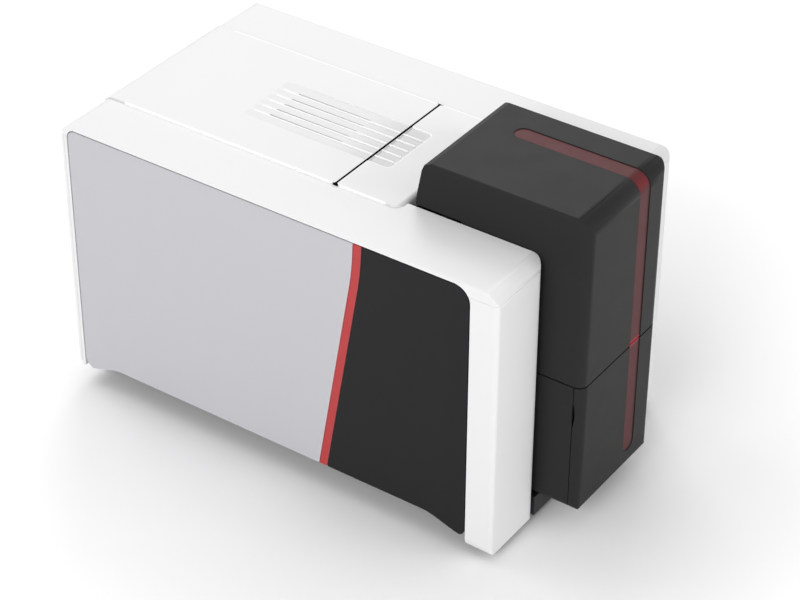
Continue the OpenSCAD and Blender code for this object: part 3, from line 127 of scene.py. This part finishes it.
def ramp(tree, value, start, end, low=0.0, high=1.0, smooth=False):
    """Value from start to end, mapped to low to high and held beyond them."""
    node = tree.nodes.new("ShaderNodeMapRange")
    if smooth:
        node.interpolation_type = "SMOOTHSTEP"
    node.inputs["From Min"].default_value = start
    node.inputs["From Max"].default_value = end
    node.inputs["To Min"].default_value = low
    node.inputs["To Max"].default_value = high
    tree.links.new(value, node.inputs["Value"])
    return node.outputs["Result"]


def noise(tree, scale, detail=2.0, roughness=0.5, stretch=(1, 1, 1)):
    """Noise in the part's own coordinates, in cycles per metre."""
    mapping = tree.nodes.new("ShaderNodeMapping")
    mapping.inputs["Scale"].default_value = stretch
    tree.links.new(object_place(tree), mapping.inputs["Vector"])
    node = tree.nodes.new("ShaderNodeTexNoise")
    node.inputs["Scale"].default_value = scale
    node.inputs["Detail"].default_value = detail
    node.inputs["Roughness"].default_value = roughness
    tree.links.new(mapping.outputs["Vector"], node.inputs["Vector"])
    return node.outputs["Fac"]


# Most of the noise lies between these two values
NOISE_LOW = 0.25
NOISE_HIGH = 0.75


def spread(tree, value, low, high):
    """Noise spread over the range from low to high."""
    return ramp(tree, value, NOISE_LOW, NOISE_HIGH, low, high)


def blend_colours(tree, factor, first, second):
    node = tree.nodes.new("ShaderNodeMix")
    node.data_type = "RGBA"
    node.inputs["A"].default_value = (*first, 1)
    node.inputs["B"].default_value = (*second, 1)
    tree.links.new(factor, node.inputs["Factor"])
    return node.outputs["Result"]


def bump(tree, shader, height, strength, distance):
    node = tree.nodes.new("ShaderNodeBump")
    node.inputs["Strength"].default_value = strength
    node.inputs["Distance"].default_value = distance
    tree.links.new(height, node.inputs["Height"])
    tree.links.new(node.outputs["Normal"], shader.inputs["Normal"])


def shade(colour, factor):
    return tuple(min(1.0, c * factor) for c in colour)


# ---- Materials ----
COLOURS = {
    "white_shell": (0.84, 0.84, 0.845),
    "pale_grey_panel": (0.542, 0.537, 0.570),
    "charcoal_panel": (0.0145, 0.0145, 0.0155),
    "accent_red": (0.47, 0.031, 0.034),
    "dark_shell": (0.0252, 0.0252, 0.0247),
    "black_plastic": (0.016, 0.016, 0.018),
    "foot_rubber": (0.03, 0.03, 0.03),
    "chassis_steel": (0.60, 0.61, 0.63),
    "shaft_steel": (0.68, 0.69, 0.71),
    "roller_rubber": (0.028, 0.028, 0.03),
    "cleaning_rubber": (0.03, 0.12, 0.38),
    "spool_plastic": (0.03, 0.09, 0.32),
    "ribbon_film": (0.012, 0.009, 0.02),
    "sink_aluminium": (0.78, 0.79, 0.8),
    "head_ceramic": (0.7, 0.6, 0.36),
    "motor_black": (0.02, 0.02, 0.022),
    "board_green": (0.012, 0.10, 0.035),
    "socket_steel": (0.72, 0.73, 0.74),
    "contact_gold": (0.83, 0.6, 0.25),
    # Near-black painted shade for the gap of the lid's seam
    "painted_seam_shade": (0.003, 0.003, 0.003),
    # Lighter copy of the white shell, a painted highlight for edges, fin tops and the scoop's rim
    "painted_highlight_white": (0.97, 0.97, 0.97),
}

FLOW_SCALE = 14
GLOSS_SCALE = 60
GLOSS_SPREAD = 0.03
GRAIN_SCALE = 2600
GRAIN_HEIGHT = 0.0001


def mottled(tree, colour, mottle):
    return blend_colours(tree, noise(tree, FLOW_SCALE, 3),
                         shade(colour, 1 - mottle), shade(colour, 1 + mottle))


def moulded(name, rough, grain=0.05, mottle=0.015, specular=0.5, base=None):
    """Moulded plastic: fine surface grain, faint flow mottling and uneven gloss."""
    made, tree, shader = new_material(name)
    shader.inputs["Specular IOR Level"].default_value = specular
    colour = base(tree) if base else mottled(tree, COLOURS[name], mottle)
    tree.links.new(colour, shader.inputs["Base Color"])
    uneven = noise(tree, GLOSS_SCALE, 4)
    tree.links.new(spread(tree, uneven, rough - GLOSS_SPREAD, rough + GLOSS_SPREAD),
                   shader.inputs["Roughness"])
    if grain:
        bump(tree, shader, noise(tree, GRAIN_SCALE, 2), grain, GRAIN_HEIGHT)
    return made


# Side panels: where their faces start to roll off, in metres
PANEL_FRONT_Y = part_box("left_front_panel")[0][DEPTH]
PANEL_REAR_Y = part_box("left_rear_panel")[1][DEPTH]
PANEL_TOP_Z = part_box("left_rear_panel")[1][Z]
PANEL_ROLL = 0.016
PANEL_ROLL_HEIGHT = 0.0006


def rolled_panel(name, end_y, inwards, **finish):
    """Moulded panel whose face rolls off softly towards its top and one end."""
    made = moulded(name, grain=0, **finish)
    tree = made.node_tree
    axes = object_axes(tree)
    from_end = ramp(tree, axes["Y"], end_y, end_y + inwards * PANEL_ROLL, smooth=True)
    from_top = ramp(tree, axes["Z"], PANEL_TOP_Z, PANEL_TOP_Z - PANEL_ROLL, smooth=True)
    bump(tree, tree.nodes["Principled BSDF"], combine(tree, "MULTIPLY", from_end, from_top),
         1.0, PANEL_ROLL_HEIGHT)
    return made


# Painted shade in the scoop's recess: darker grey at the front, fading towards the rear
PAINTED_SHADE_FRONT = (0.71, 0.71, 0.715)
PAINTED_SHADE_REAR = (0.805, 0.805, 0.81)
SHADE_FROM_Y = -0.010
SHADE_TO_Y = 0.026


def scoop_painted_shade_colour(tree):
    """Painted shade of the scoop's recess: grey that fades out towards the rear."""
    fade = ramp(tree, object_axes(tree)["Y"], SHADE_FROM_Y, SHADE_TO_Y, smooth=True)
    return blend_colours(tree, fade, PAINTED_SHADE_FRONT, PAINTED_SHADE_REAR)


STRIP_DARK = (0.092, 0.025, 0.027)
STRIP_BRIGHT = (0.26, 0.02, 0.03)
STRIP_GLOW = 0.5
STRIP_SPECULAR = 0.08
STRIP_ROUGHNESS = (0.35, 0.42)
STRIP_GLOSS_SCALE = 90
STRIP_LOW_Z, STRIP_TOP_Z = (corner[Z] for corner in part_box("upper_light_strip"))
STRIP_BEND_Z = STRIP_TOP_Z - 0.0046
STRIP_BEND_REACH = 0.0055
STRIP_BEND_LEVEL = 0.28
STRIP_SEAM_Z = (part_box("lower_light_strip")[1][Z] + STRIP_LOW_Z) / 2
STRIP_SEAM_REACH = 0.0032


def smoked_strip(name):
    """Smoked red strip that glows a little at its bend and where the two halves meet."""
    made, tree, shader = new_material(name)
    shader.inputs["Specular IOR Level"].default_value = STRIP_SPECULAR
    height = object_axes(tree)["Z"]

    def near(level, reach):
        away = combine(tree, "SUBTRACT", height, level)
        size = combine(tree, "ABSOLUTE", away)
        return ramp(tree, size, 0.0, reach, 1.0, 0.0, smooth=True)

    bend = combine(tree, "MULTIPLY", near(STRIP_BEND_Z, STRIP_BEND_REACH), STRIP_BEND_LEVEL)
    lit = combine(tree, "MAXIMUM", bend, near(STRIP_SEAM_Z, STRIP_SEAM_REACH))
    tree.links.new(blend_colours(tree, lit, STRIP_DARK, STRIP_BRIGHT),
                   shader.inputs["Base Color"])
    tree.links.new(combine(tree, "MULTIPLY", lit, STRIP_GLOW),
                   shader.inputs["Emission Strength"])
    shader.inputs["Emission Color"].default_value = (*STRIP_BRIGHT, 1)
    tree.links.new(spread(tree, noise(tree, STRIP_GLOSS_SCALE, 3), *STRIP_ROUGHNESS),
                   shader.inputs["Roughness"])
    return made


# How far the colour of metal and rubber strays from the named one, darkest and lightest
METAL_SHADES = (0.9, 1.05)
RUBBER_SHADES = (0.8, 1.3)
METAL_LINES_SCALE = 900
METAL_LINES_HEIGHT = 0.00005
METAL_LINES_STRENGTH = 0.08
RUBBER_DUST_SCALE = 45
RUBBER_GRAIN_SCALE = 1800
RUBBER_GRAIN_STRENGTH = 0.2


def uneven_finish(tree, shader, pattern, name, shades, roughness):
    """Colour and roughness that follow one noise pattern."""
    dark, light = (shade(COLOURS[name], factor) for factor in shades)
    tree.links.new(blend_colours(tree, pattern, dark, light), shader.inputs["Base Color"])
    tree.links.new(spread(tree, pattern, *roughness), shader.inputs["Roughness"])


def metal(name, rough, stretch=(1, 1, 1)):
    """Sheet or turned metal with fine lines along one direction."""
    made, tree, shader = new_material(name)
    shader.inputs["Metallic"].default_value = 1.0
    lines = noise(tree, METAL_LINES_SCALE, 3, 0.6, stretch)
    uneven_finish(tree, shader, lines, name, METAL_SHADES, (rough - 0.06, rough + 0.08))
    bump(tree, shader, lines, METAL_LINES_STRENGTH, METAL_LINES_HEIGHT)
    return made


def rubber(name, rough):
    """Matt rubber, a little dusty."""
    made, tree, shader = new_material(name)
    dust = noise(tree, RUBBER_DUST_SCALE, 5, 0.65)
    uneven_finish(tree, shader, dust, name, RUBBER_SHADES, (rough - 0.08, rough + 0.08))
    bump(tree, shader, noise(tree, RUBBER_GRAIN_SCALE, 3), RUBBER_GRAIN_STRENGTH, GRAIN_HEIGHT)
    return made


LINES_ALONG_X = (0.02, 1, 1)
LINES_ALONG_Y = (1, 0.02, 1)

MATERIALS = {
    "white_shell": moulded("white_shell", 0.45, grain=0, mottle=0.006, specular=0.2),
    "pale_grey_panel": rolled_panel("pale_grey_panel", PANEL_REAR_Y, -1,
                                    rough=0.45, mottle=0.008, specular=0.3),
    "charcoal_panel": rolled_panel("charcoal_panel", PANEL_FRONT_Y, 1,
                                   rough=0.42, mottle=0.015, specular=0.12),
    "accent_red": moulded("accent_red", 0.36, grain=0.02, specular=0.4),
    "dark_shell": moulded("dark_shell", 0.38, grain=0.1, specular=0.055),
    "light_strip": smoked_strip("light_strip"),
    "black_plastic": moulded("black_plastic", 0.5, grain=0.2),
    "foot_rubber": rubber("foot_rubber", 0.75),
    "chassis_steel": metal("chassis_steel", 0.34, LINES_ALONG_Y),
    "shaft_steel": metal("shaft_steel", 0.2, LINES_ALONG_X),
    "roller_rubber": rubber("roller_rubber", 0.62),
    "cleaning_rubber": rubber("cleaning_rubber", 0.35),
    "spool_plastic": moulded("spool_plastic", 0.4, grain=0.08),
    "ribbon_film": moulded("ribbon_film", 0.14, grain=0.01),
    "sink_aluminium": metal("sink_aluminium", 0.3, LINES_ALONG_X),
    "head_ceramic": moulded("head_ceramic", 0.2, grain=0.02),
    "motor_black": moulded("motor_black", 0.35, grain=0.1),
    "board_green": moulded("board_green", 0.3, grain=0.03),
    "socket_steel": metal("socket_steel", 0.25),
    "contact_gold": metal("contact_gold", 0.25),
    # Painted shade of the lid's seam gap
    "painted_seam_shade": moulded("painted_seam_shade", 0.8, grain=0.1, specular=0.02),
    # Painted highlight: lighter white for edges, fin tops and the scoop's rim
    "painted_highlight_white": moulded("painted_highlight_white", 0.4, grain=0, mottle=0.004, specular=0.3),
    # Painted shade for the scoop's recess
    "scoop_painted_shade": moulded("scoop_painted_shade", 0.5, grain=0, specular=0.2, base=scoop_painted_shade_colour),
}


def finish_nodes():
    slot_of = {part["node"]: part["material_slot"] for part in RECORD["subparts"]}
    for name, node in NODES.items():
        for holder in node.material_slots:
            holder.link = "OBJECT"
            holder.material = MATERIALS[slot_of[name]]


# ---- Edge rounding of the moulded pieces, widths in metres ----
SOFT_EDGES = {
    "top_shell": 0.0006, "front_top_panel": 0.0005, "lid": 0.0005,
    "left_column": 0.0008, "right_column": 0.0008, "rear_panel": 0.0006,
    "feeder_cover": 0.0006, "hopper_door": 0.0006, "hopper_tray": 0.0005,
    "base_tray": 0.0008, "left_accent_strip": 0.0004, "right_accent_strip": 0.0004,
    "left_front_panel": 0.0018, "right_front_panel": 0.0018,
    "left_rear_panel": 0.0018, "right_rear_panel": 0.0018,
}
WELD_DISTANCE = 0.000002
SOFT_SEGMENTS = 3
SOFT_ANGLE = math.radians(32)


def soften_edges():
    for name, width in SOFT_EDGES.items():
        node = NODES[name]
        weld = node.modifiers.new("weld", "WELD")
        weld.merge_threshold = WELD_DISTANCE
        bevel = node.modifiers.new("edge_rounding", "BEVEL")
        bevel.width = width
        bevel.segments = SOFT_SEGMENTS
        bevel.limit_method = "ANGLE"
        bevel.angle_limit = SOFT_ANGLE
        bevel.harden_normals = True


# ---- Added pieces, sizes and places in mm ----
SHARP_ANGLE = math.radians(35)


class Build:
    """Collects closed solids for one piece."""

    def __init__(self):
        self.vertices = []
        self.faces = []

    def loops(self, rings):
        """Closed solid through rings of equal length, with flat ends."""
        count = len(rings[0])
        start = len(self.vertices)
        for ring in rings:
            self.vertices.extend(ring)
        for i in range(len(rings) - 1):
            low, high = start + i * count, start + (i + 1) * count
            for k in range(count):
                m = (k + 1) % count
                self.faces.append((low + k, low + m, high + m, high + k))
        self.faces.append(tuple(start + k for k in reversed(range(count))))
        last = start + (len(rings) - 1) * count
        self.faces.append(tuple(last + k for k in range(count)))

    def box(self, x, depth, z, soft=0.15):
        """Box between two X, depths and heights, with chamfered edges."""
        rings = []
        for height, inset in ((z[0], soft), (z[0] + soft, 0), (z[1] - soft, 0), (z[1], soft)):
            x0, x1 = x[0] + inset, x[1] - inset
            d0, d1 = depth[0] + inset, depth[1] - inset
            outline = ((x0 + soft, d0), (x1 - soft, d0), (x1, d0 + soft), (x1, d1 - soft),
                       (x1 - soft, d1), (x0 + soft, d1), (x0, d1 - soft), (x0, d0 + soft))
            rings.append([at(across, back, height) for across, back in outline])
        self.loops(rings)

    def turned(self, centre, axis, profile, count=32):
        """Solid of revolution: profile is (along, radius) pairs from the centre."""
        along = Vector(axis).normalized()
        side = along.orthogonal().normalized()
        other = along.cross(side)
        rings = []
        for run, radius in profile:
            rings.append([centre + along * run / 1000
                          + (side * math.cos(a) + other * math.sin(a)) * radius / 1000
                          for a in (2 * math.pi * k / count for k in range(count))])
        self.loops(rings)

    def piece(self, name, slot, body):
        """Object made of the solids, with a material slot, riding on a body."""
        mesh = bpy.data.meshes.new(name)
        mesh.from_pydata([tuple(v) for v in self.vertices], [], self.faces)
        shaped = bmesh.new()
        shaped.from_mesh(mesh)
        bmesh.ops.recalc_face_normals(shaped, faces=shaped.faces)
        shaped.to_mesh(mesh)
        shaped.free()
        mesh.shade_smooth()
        mesh.set_sharp_from_angle(angle=SHARP_ANGLE)
        mesh.materials.append(MATERIALS[slot])
        piece = bpy.data.objects.new(name, mesh)
        bpy.context.scene.collection.objects.link(piece)
        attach(piece, body)


FRONT_TOP_START, FRONT_TOP_END = extent("front_top_panel", DEPTH)
LID_START, LID_END = extent("lid", DEPTH)
LID_HALF = extent("lid", X)[1]
LID_TOP = extent("lid", Z)[1]
LID_SEAM = (FRONT_TOP_END + LID_START) / 2
# Section of the near-black strip of painted shade in the lid's seam: side, how far it stands out, height over the
# lid's top
SEAM_SHADE_SECTION = ((-1, 0, -3.0), (1, 0, -3.0), (1, 0, -0.45), (1, 0.2, -0.1),
                  (1, 0.15, -0.02), (-1, 0.15, -0.02), (-1, 0.2, -0.1), (-1, 0, -0.45))
# Half width of the seam's painted shade strip at places along it, which are measured from the lid's side
SEAM_SHADE_WIDTHS = ((0.45, 1.8), (-0.2, 1.25), (-0.8, 0.85), (-1.6, 0.65))

SCOOP_FRONT = 132.5
SCOOP_REAR = 254.5
SCOOP_HALF = 25.0
SCOOP_FLOOR_HALF = SCOOP_HALF - 0.6
SCOOP_DEPTH = 1.0
SCOOP_CORNER = 4.0
CORNER_STEPS = 6
# Section of the scoop's rim: distance from its middle line, height over the lid's top
RIM_SECTION = ((-0.5, -1.3), (-0.5, -0.1), (-0.3, 0.04), (0.3, 0.04), (0.5, -0.1), (0.5, -1.3))
SLOT_PITCH = 7.9
SLOT_X = [(i - 2) * SLOT_PITCH for i in range(5)]
SLOT_HALF = 0.7
FIN_WIDTH = 1.2
SHADE_CLEAR = 0.1
SHADE_SUNK = 0.1
SHADE_THICK = 0.16


def add_lid_seam():
    """Near-black strip in the seam in front of the lid, painted shade of the gap, with a pale lip on each side of
    it.
    """
    stations = [(-LID_HALF - out, half) for out, half in SEAM_SHADE_WIDTHS]
    stations += [(-x, half) for x, half in reversed(stations)]
    seam_shade = Build()
    seam_shade.loops([[at(x, LID_SEAM + side * (half + out), LID_TOP + rise)
                   for side, out, rise in SEAM_SHADE_SECTION] for x, half in stations])
    seam_shade.piece("lid_seam_painted_shade", "painted_seam_shade", "lid")
    for name, near, body in (("front_seam_lip", LID_SEAM - 1.35, "chassis"),
                             ("lid_seam_lip", LID_SEAM + 0.9, "lid")):
        lip = Build()
        lip.box((-SCOOP_FLOOR_HALF, SCOOP_FLOOR_HALF), (near, near + 0.45),
                (LID_TOP - 1.3, LID_TOP - 0.02), 0.1)
        lip.piece(name, "white_shell", body)


def add_highlight_beads():
    """Beads along the sides of the lid and of the panel in front of it, lighter white as a painted highlight."""
    near, far = LID_HALF - 0.7, LID_HALF + 0.45
    heights = (LID_TOP - 2.2, LID_TOP + 0.08)
    for name, depths, body in (("lid_highlight_beads", (LID_START + 2, LID_END - 18), "lid"),
                               ("front_highlight_beads",
                                (FRONT_TOP_START + 10, FRONT_TOP_END - 2), "chassis")):
        beads = Build()
        beads.box((-far, -near), depths, heights, 0.2)
        beads.box((near, far), depths, heights, 0.2)
        beads.piece(name, "painted_highlight_white", body)


def add_scoop_rim():
    """Rim round the front end of the scoop, lighter white as a painted highlight."""
    path = [(-SCOOP_HALF, FRONT_TOP_END - 0.6), (-SCOOP_HALF, SCOOP_FRONT + SCOOP_CORNER)]
    for k in range(1, CORNER_STEPS + 1):
        a = math.pi / 2 * k / CORNER_STEPS
        path.append((SCOOP_CORNER - SCOOP_HALF - SCOOP_CORNER * math.cos(a),
                     SCOOP_FRONT + SCOOP_CORNER - SCOOP_CORNER * math.sin(a)))
    path += [(-x, depth) for x, depth in reversed(path)]
    rings = []
    for k, (x, depth) in enumerate(path):
        before, after = path[max(k - 1, 0)], path[min(k + 1, len(path) - 1)]
        along = Vector((after[0] - before[0], after[1] - before[1])).normalized()
        rings.append([at(x - along.y * out, depth + along.x * out, LID_TOP + rise)
                      for out, rise in RIM_SECTION])
    rim = Build()
    rim.loops(rings)
    rim.piece("scoop_rim", "painted_highlight_white", "chassis")


def scoop_floor_z(depth):
    return LID_TOP - SCOOP_DEPTH * (SCOOP_REAR - depth) / (SCOOP_REAR - SCOOP_FRONT)


def add_scoop_painted_shade():
    """Thin strips of painted shade on the scoop's sloping floor, between the fins and the slots."""
    starts = [-SCOOP_FLOOR_HALF] + [x + SLOT_HALF for x in SLOT_X]
    ends = [x - SLOT_HALF - FIN_WIDTH for x in SLOT_X] + [SCOOP_FLOOR_HALF]
    for name, body, depths in (
            ("front_scoop_painted_shade", "chassis", (SCOOP_FRONT + 0.7, FRONT_TOP_END - 0.1)),
            ("lid_scoop_painted_shade", "lid", (LID_START + 0.2, SCOOP_REAR - 4.5))):
        floor = Build()
        for start, end in zip(starts, ends):
            x0, x1 = start + SHADE_CLEAR, end - SHADE_CLEAR
            rings = []
            for depth in depths:
                low = scoop_floor_z(depth) - SHADE_SUNK
                high = low + SHADE_THICK
                rings.append([at(x0, depth, low), at(x1, depth, low),
                              at(x1, depth, high), at(x0, depth, high)])
            floor.loops(rings)
        floor.piece(name, "scoop_painted_shade", body)


def add_fin_caps():
    """Caps on the fins beside the slots, lighter white as a painted highlight."""
    heights = (LID_TOP - 0.7, LID_TOP + 0.02)
    for name, body, depths in (
            ("front_fin_caps", "chassis", (SCOOP_FRONT + 2.1, FRONT_TOP_END - 0.2)),
            ("lid_fin_caps", "lid", (LID_START + 0.3, SCOOP_REAR - 8.5))):
        caps = Build()
        for x in SLOT_X:
            caps.box((x - SLOT_HALF - FIN_WIDTH + 0.05, x - SLOT_HALF - 0.1), depths,
                     heights, 0.1)
        caps.piece(name, "painted_highlight_white", body)


RIB_HALF = 0.6


def add_lid_ribs():
    """Stiffening ribs under the lid, between the frame's rails."""
    heights = (LID_TOP - 4.5, LID_TOP - 2.2)
    ribs = Build()
    for x in (-36, -30, 30, 36):
        ribs.box((x - RIB_HALF, x + RIB_HALF), (170, 318), heights)
    for depth in (266, 284, 302):
        ribs.box((-39, 39), (depth - RIB_HALF, depth + RIB_HALF), heights)
    ribs.piece("lid_ribs", "white_shell", "lid")


def add_cover_ribs():
    """Ribs inside the feeder cover's top and sides."""
    left, right = extent("feeder_cover", X)
    roof = extent("feeder_cover", Z)[1] - 2.3
    ribs = Build()
    for x in (-40, -30, 33, 38):
        ribs.box((x - RIB_HALF, x + RIB_HALF), (-12, 78), (roof - 2.0, roof))
    for depth in (-8, 70, 76):
        ribs.box((left + 3.1, right - 3.1), (depth - RIB_HALF, depth + RIB_HALF),
                 (roof - 1.8, roof))
    ribs.piece("cover_ribs", "dark_shell", "feeder_cover")


def add_sockets():
    """Contacts inside the two data sockets."""
    back = extent("network_port", DEPTH)[0] + 2.7
    contacts = Build()
    middle = sum(extent("network_port", X)) / 2
    low = extent("network_port", Z)[0] + 9.8
    for i in range(8):
        x = middle - 3.57 + i * 1.02
        contacts.box((x - 0.18, x + 0.18), (back, back + 10), (low, low + 0.6), 0.05)
    middle = sum(extent("usb_port", X)) / 2
    low = extent("usb_port", Z)[0]
    for x in (middle - 1.6, middle + 1.6):
        for z in (low + 7.0, low + 3.8):
            contacts.box((x - 0.6, x + 0.6), (back, back + 7.5), (z, z + 0.4), 0.05)
    contacts.piece("socket_contacts", "contact_gold", "chassis")


def add_board_parts():
    """Small parts, pins and connectors on the main board."""
    face = extent("main_board", X)[0] + 8.0
    start = extent("main_board", DEPTH)[0]
    low = extent("main_board", Z)[0]
    parts = Build()
    pins = Build()
    # Legs of the large chip, on both of its sides
    for k in range(14):
        z = low + 41 + k * 1.9
        for depth in (start + 40.2, start + 71.2):
            pins.box((face, face + 1.2), (depth, depth + 1.0), (z, z + 0.7), 0.1)
    # Field of small resistors
    for row in range(5):
        for k in range(9):
            depth, z = start + 78 + k * 5.2, low + 46 + row * 5.4
            parts.box((face, face + 0.8), (depth, depth + 2.2), (z, z + 1.2))
    # Row of round capacitors
    for k in range(6):
        parts.turned(at(face, start + 24 + k * 7.5, low + 92), (1, 0, 0),
                     ((0, 2.6), (6.5, 2.6), (7, 2.2), (7, 0.01)), 20)
    # Plug housings
    for z in (low + 12, low + 22, low + 32):
        parts.box((face, face + 5), (start + 110, start + 128), (z - 3, z + 3), 0.3)
    # Pins of the tall header
    for k in range(20):
        z = low + 21.5 + k * 2.9
        pins.box((face + 7, face + 12), (start + 16.4, start + 17.2), (z, z + 0.8), 0.1)
    parts.piece("board_parts", "black_plastic", "chassis")
    pins.piece("board_pins", "contact_gold", "chassis")


# Spool flanges, in metres from the middle of the spool
FLANGE_FACE = 0.0345
HUB_RIBS = 8
HUB_RIB_HEIGHT = 0.0012
# Corners of a hub rib seen along the spool's axis: radius, sideways
HUB_RIB_CORNERS = ((0.0055, -0.0006), (0.0175, -0.0006), (0.0175, 0.0006), (0.0055, 0.0006))
# Raised rim, in mm: height over the flange, radius
HUB_RIM = ((0, 6.4), (1.6, 6.4), (1.9, 6.0), (1.9, 4.6))


def add_spool_ribs():
    """Ribs and a raised rim on the outer face of the spool flanges."""
    for name, body in (("supply_hub_ribs", "supply_spool"),
                       ("takeup_hub_ribs", "takeup_spool")):
        ribs = Build()
        for side in (-1, 1):
            out = Vector((side, 0, 0))
            face = Vector(HINGE_AT[body]) + out * FLANGE_FACE
            for k in range(HUB_RIBS):
                a = 2 * math.pi * k / HUB_RIBS
                along = Vector((0, math.cos(a), math.sin(a)))
                across = Vector((0, -math.sin(a), math.cos(a)))
                ribs.loops([[face + out * height + along * r + across * w
                             for r, w in HUB_RIB_CORNERS] for height in (0, HUB_RIB_HEIGHT)])
            ribs.turned(face, out, HUB_RIM)
        ribs.piece(name, "spool_plastic", body)


BELT_INNER_RADIUS = 9.3
BELT_TEETH = 72
TOOTH_PITCH = 2.0
TOOTH_LENGTH = 1.0


def add_belt_teeth():
    """Teeth on the inner side of the drive belt's upper straight run."""
    left, right = extent("drive_belt", X)
    _, roller_y, roller_z = HINGE_AT["feed_roller"]
    start = roller_y * 1000 + ORIGIN_DEPTH + TOOTH_LENGTH
    inner_z = roller_z * 1000 + BELT_INNER_RADIUS
    teeth = Build()
    for k in range(BELT_TEETH):
        depth = start + k * TOOTH_PITCH
        teeth.box((left + 0.2, right - 0.2), (depth, depth + TOOTH_LENGTH),
                  (inner_z - 0.25, inner_z + 0.1), 0.05)
    teeth.piece("belt_teeth", "roller_rubber", "chassis")


SCREWS_UNDER = ((-62, 60), (62, 60), (-62, 290), (62, 290), (0, 120), (0, 250))
SCREW_HEAD = ((-0.6, 3.1), (0.5, 3.1), (1.1, 2.7), (1.5, 1.9), (1.6, 0.01))
CROSS_ARMS = ((1.9, 0.45), (0.45, 1.9))


def add_screws():
    """Pan head screws under the base, with crosses in their heads."""
    under = extent("base_tray", Z)[0]
    heads = Build()
    crosses = Build()
    for x, depth in SCREWS_UNDER:
        heads.turned(at(x, depth, under), (0, 0, -1), SCREW_HEAD, 24)
        for u, v in CROSS_ARMS:
            crosses.box((x - u, x + u), (depth - v, depth + v),
                        (under - 1.7, under - 1.0), 0.05)
    heads.piece("base_screws", "shaft_steel", "chassis")
    crosses.piece("screw_crosses", "black_plastic", "chassis")


def add_pieces():
    add_lid_seam()
    add_highlight_beads()
    add_scoop_rim()
    add_scoop_painted_shade()
    add_fin_caps()
    add_lid_ribs()
    add_cover_ribs()
    add_sockets()
    add_board_parts()
    add_spool_ribs()
    add_belt_teeth()
    add_screws()


# ---- Floor and light ----
FLOOR_SIZE = 12.0
FLOOR_ALBEDO = 0.95
FLOOR_SPECKLE = 0.995
FLOOR_SPECKLE_SCALE = 300
FLOOR_ROUGH = 0.9
# Painted light on the floor for the camera and reflections, rising with distance from the middle and leaving
# painted shade round the object: distance it starts and ends at, amount
FLOOR_PAINTED_LIGHT_NEAR = (0.16, 0.45, 0.26)
FLOOR_PAINTED_LIGHT_FAR = (0.45, 3.0, 0.74)
WORLD_LIGHT = 0.45
LAMP_TARGET = (0, 0, 0.12)
# Square soft boxes: place, side in metres, watts
LAMPS = {
    "overhead": ((-0.2, 0.9, 1.4), 1.0, 5.8),
    "rear_high": ((1.24, 0.78, 1.4), 0.9, 8.6),
    "left_side": ((-2.0, -0.3, 1.2), 1.2, 21.5),
    "front_fill": ((0.3, -2.0, 0.9), 1.0, 11.5),
}


def background_rays(tree):
    """1 for the rays that should see a white background."""
    path = tree.nodes.new("ShaderNodeLightPath")
    total = path.outputs["Is Camera Ray"]
    for kind in ("Is Glossy Ray", "Is Transmission Ray"):
        total = combine(tree, "MAXIMUM", total, path.outputs[kind])
    return total


def add_floor():
    made, tree, shader = new_material("floor")
    light = (FLOOR_ALBEDO,) * 3
    speckle = noise(tree, FLOOR_SPECKLE_SCALE, 2)
    tree.links.new(blend_colours(tree, speckle, shade(light, FLOOR_SPECKLE), light),
                   shader.inputs["Base Color"])
    shader.inputs["Roughness"].default_value = FLOOR_ROUGH
    shader.inputs["Specular IOR Level"].default_value = 0.0
    shader.inputs["Emission Color"].default_value = (1, 1, 1, 1)
    away = tree.nodes.new("ShaderNodeVectorMath")
    away.operation = "LENGTH"
    tree.links.new(object_place(tree), away.inputs[0])
    # Painted light that rises away from the object, only for rays that see the background
    painted_light_rises = [ramp(tree, away.outputs["Value"], start, end, high=amount)
             for start, end, amount in (FLOOR_PAINTED_LIGHT_NEAR, FLOOR_PAINTED_LIGHT_FAR)]
    painted_floor_light = combine(tree, "MULTIPLY", combine(tree, "ADD", *painted_light_rises), background_rays(tree))
    tree.links.new(painted_floor_light, shader.inputs["Emission Strength"])
    mesh = bpy.data.meshes.new("floor")
    half = FLOOR_SIZE / 2
    corners = [(x * half, y * half, 0) for x, y in ((-1, -1), (1, -1), (1, 1), (-1, 1))]
    mesh.from_pydata(corners, [], [(0, 1, 2, 3)])
    mesh.materials.append(made)
    floor = bpy.data.objects.new("floor", mesh)
    bpy.context.scene.collection.objects.link(floor)


def light_world():
    world = bpy.data.worlds.new("studio")
    world.use_nodes = True
    bpy.context.scene.world = world
    tree = world.node_tree
    background = tree.nodes["Background"]
    background.inputs["Color"].default_value = (1, 1, 1, 1)
    level = ramp(tree, background_rays(tree), 0.0, 1.0, WORLD_LIGHT, 1.0)
    tree.links.new(level, background.inputs["Strength"])


def add_lamps():
    for name, (place, side, watts) in LAMPS.items():
        data = bpy.data.lights.new(name, "AREA")
        data.shape = "RECTANGLE"
        data.size = data.size_y = side
        data.energy = watts
        lamp = bpy.data.objects.new(name, data)
        bpy.context.scene.collection.objects.link(lamp)
        lamp.location = place
        aim = Vector(LAMP_TARGET) - Vector(place)
        lamp.rotation_euler = aim.to_track_quat("-Z", "Y").to_euler()


bpy.context.scene.view_settings.view_transform = "Standard"
add_camera()
finish_nodes()
soften_edges()
add_pieces()
add_floor()
light_world()
add_lamps()
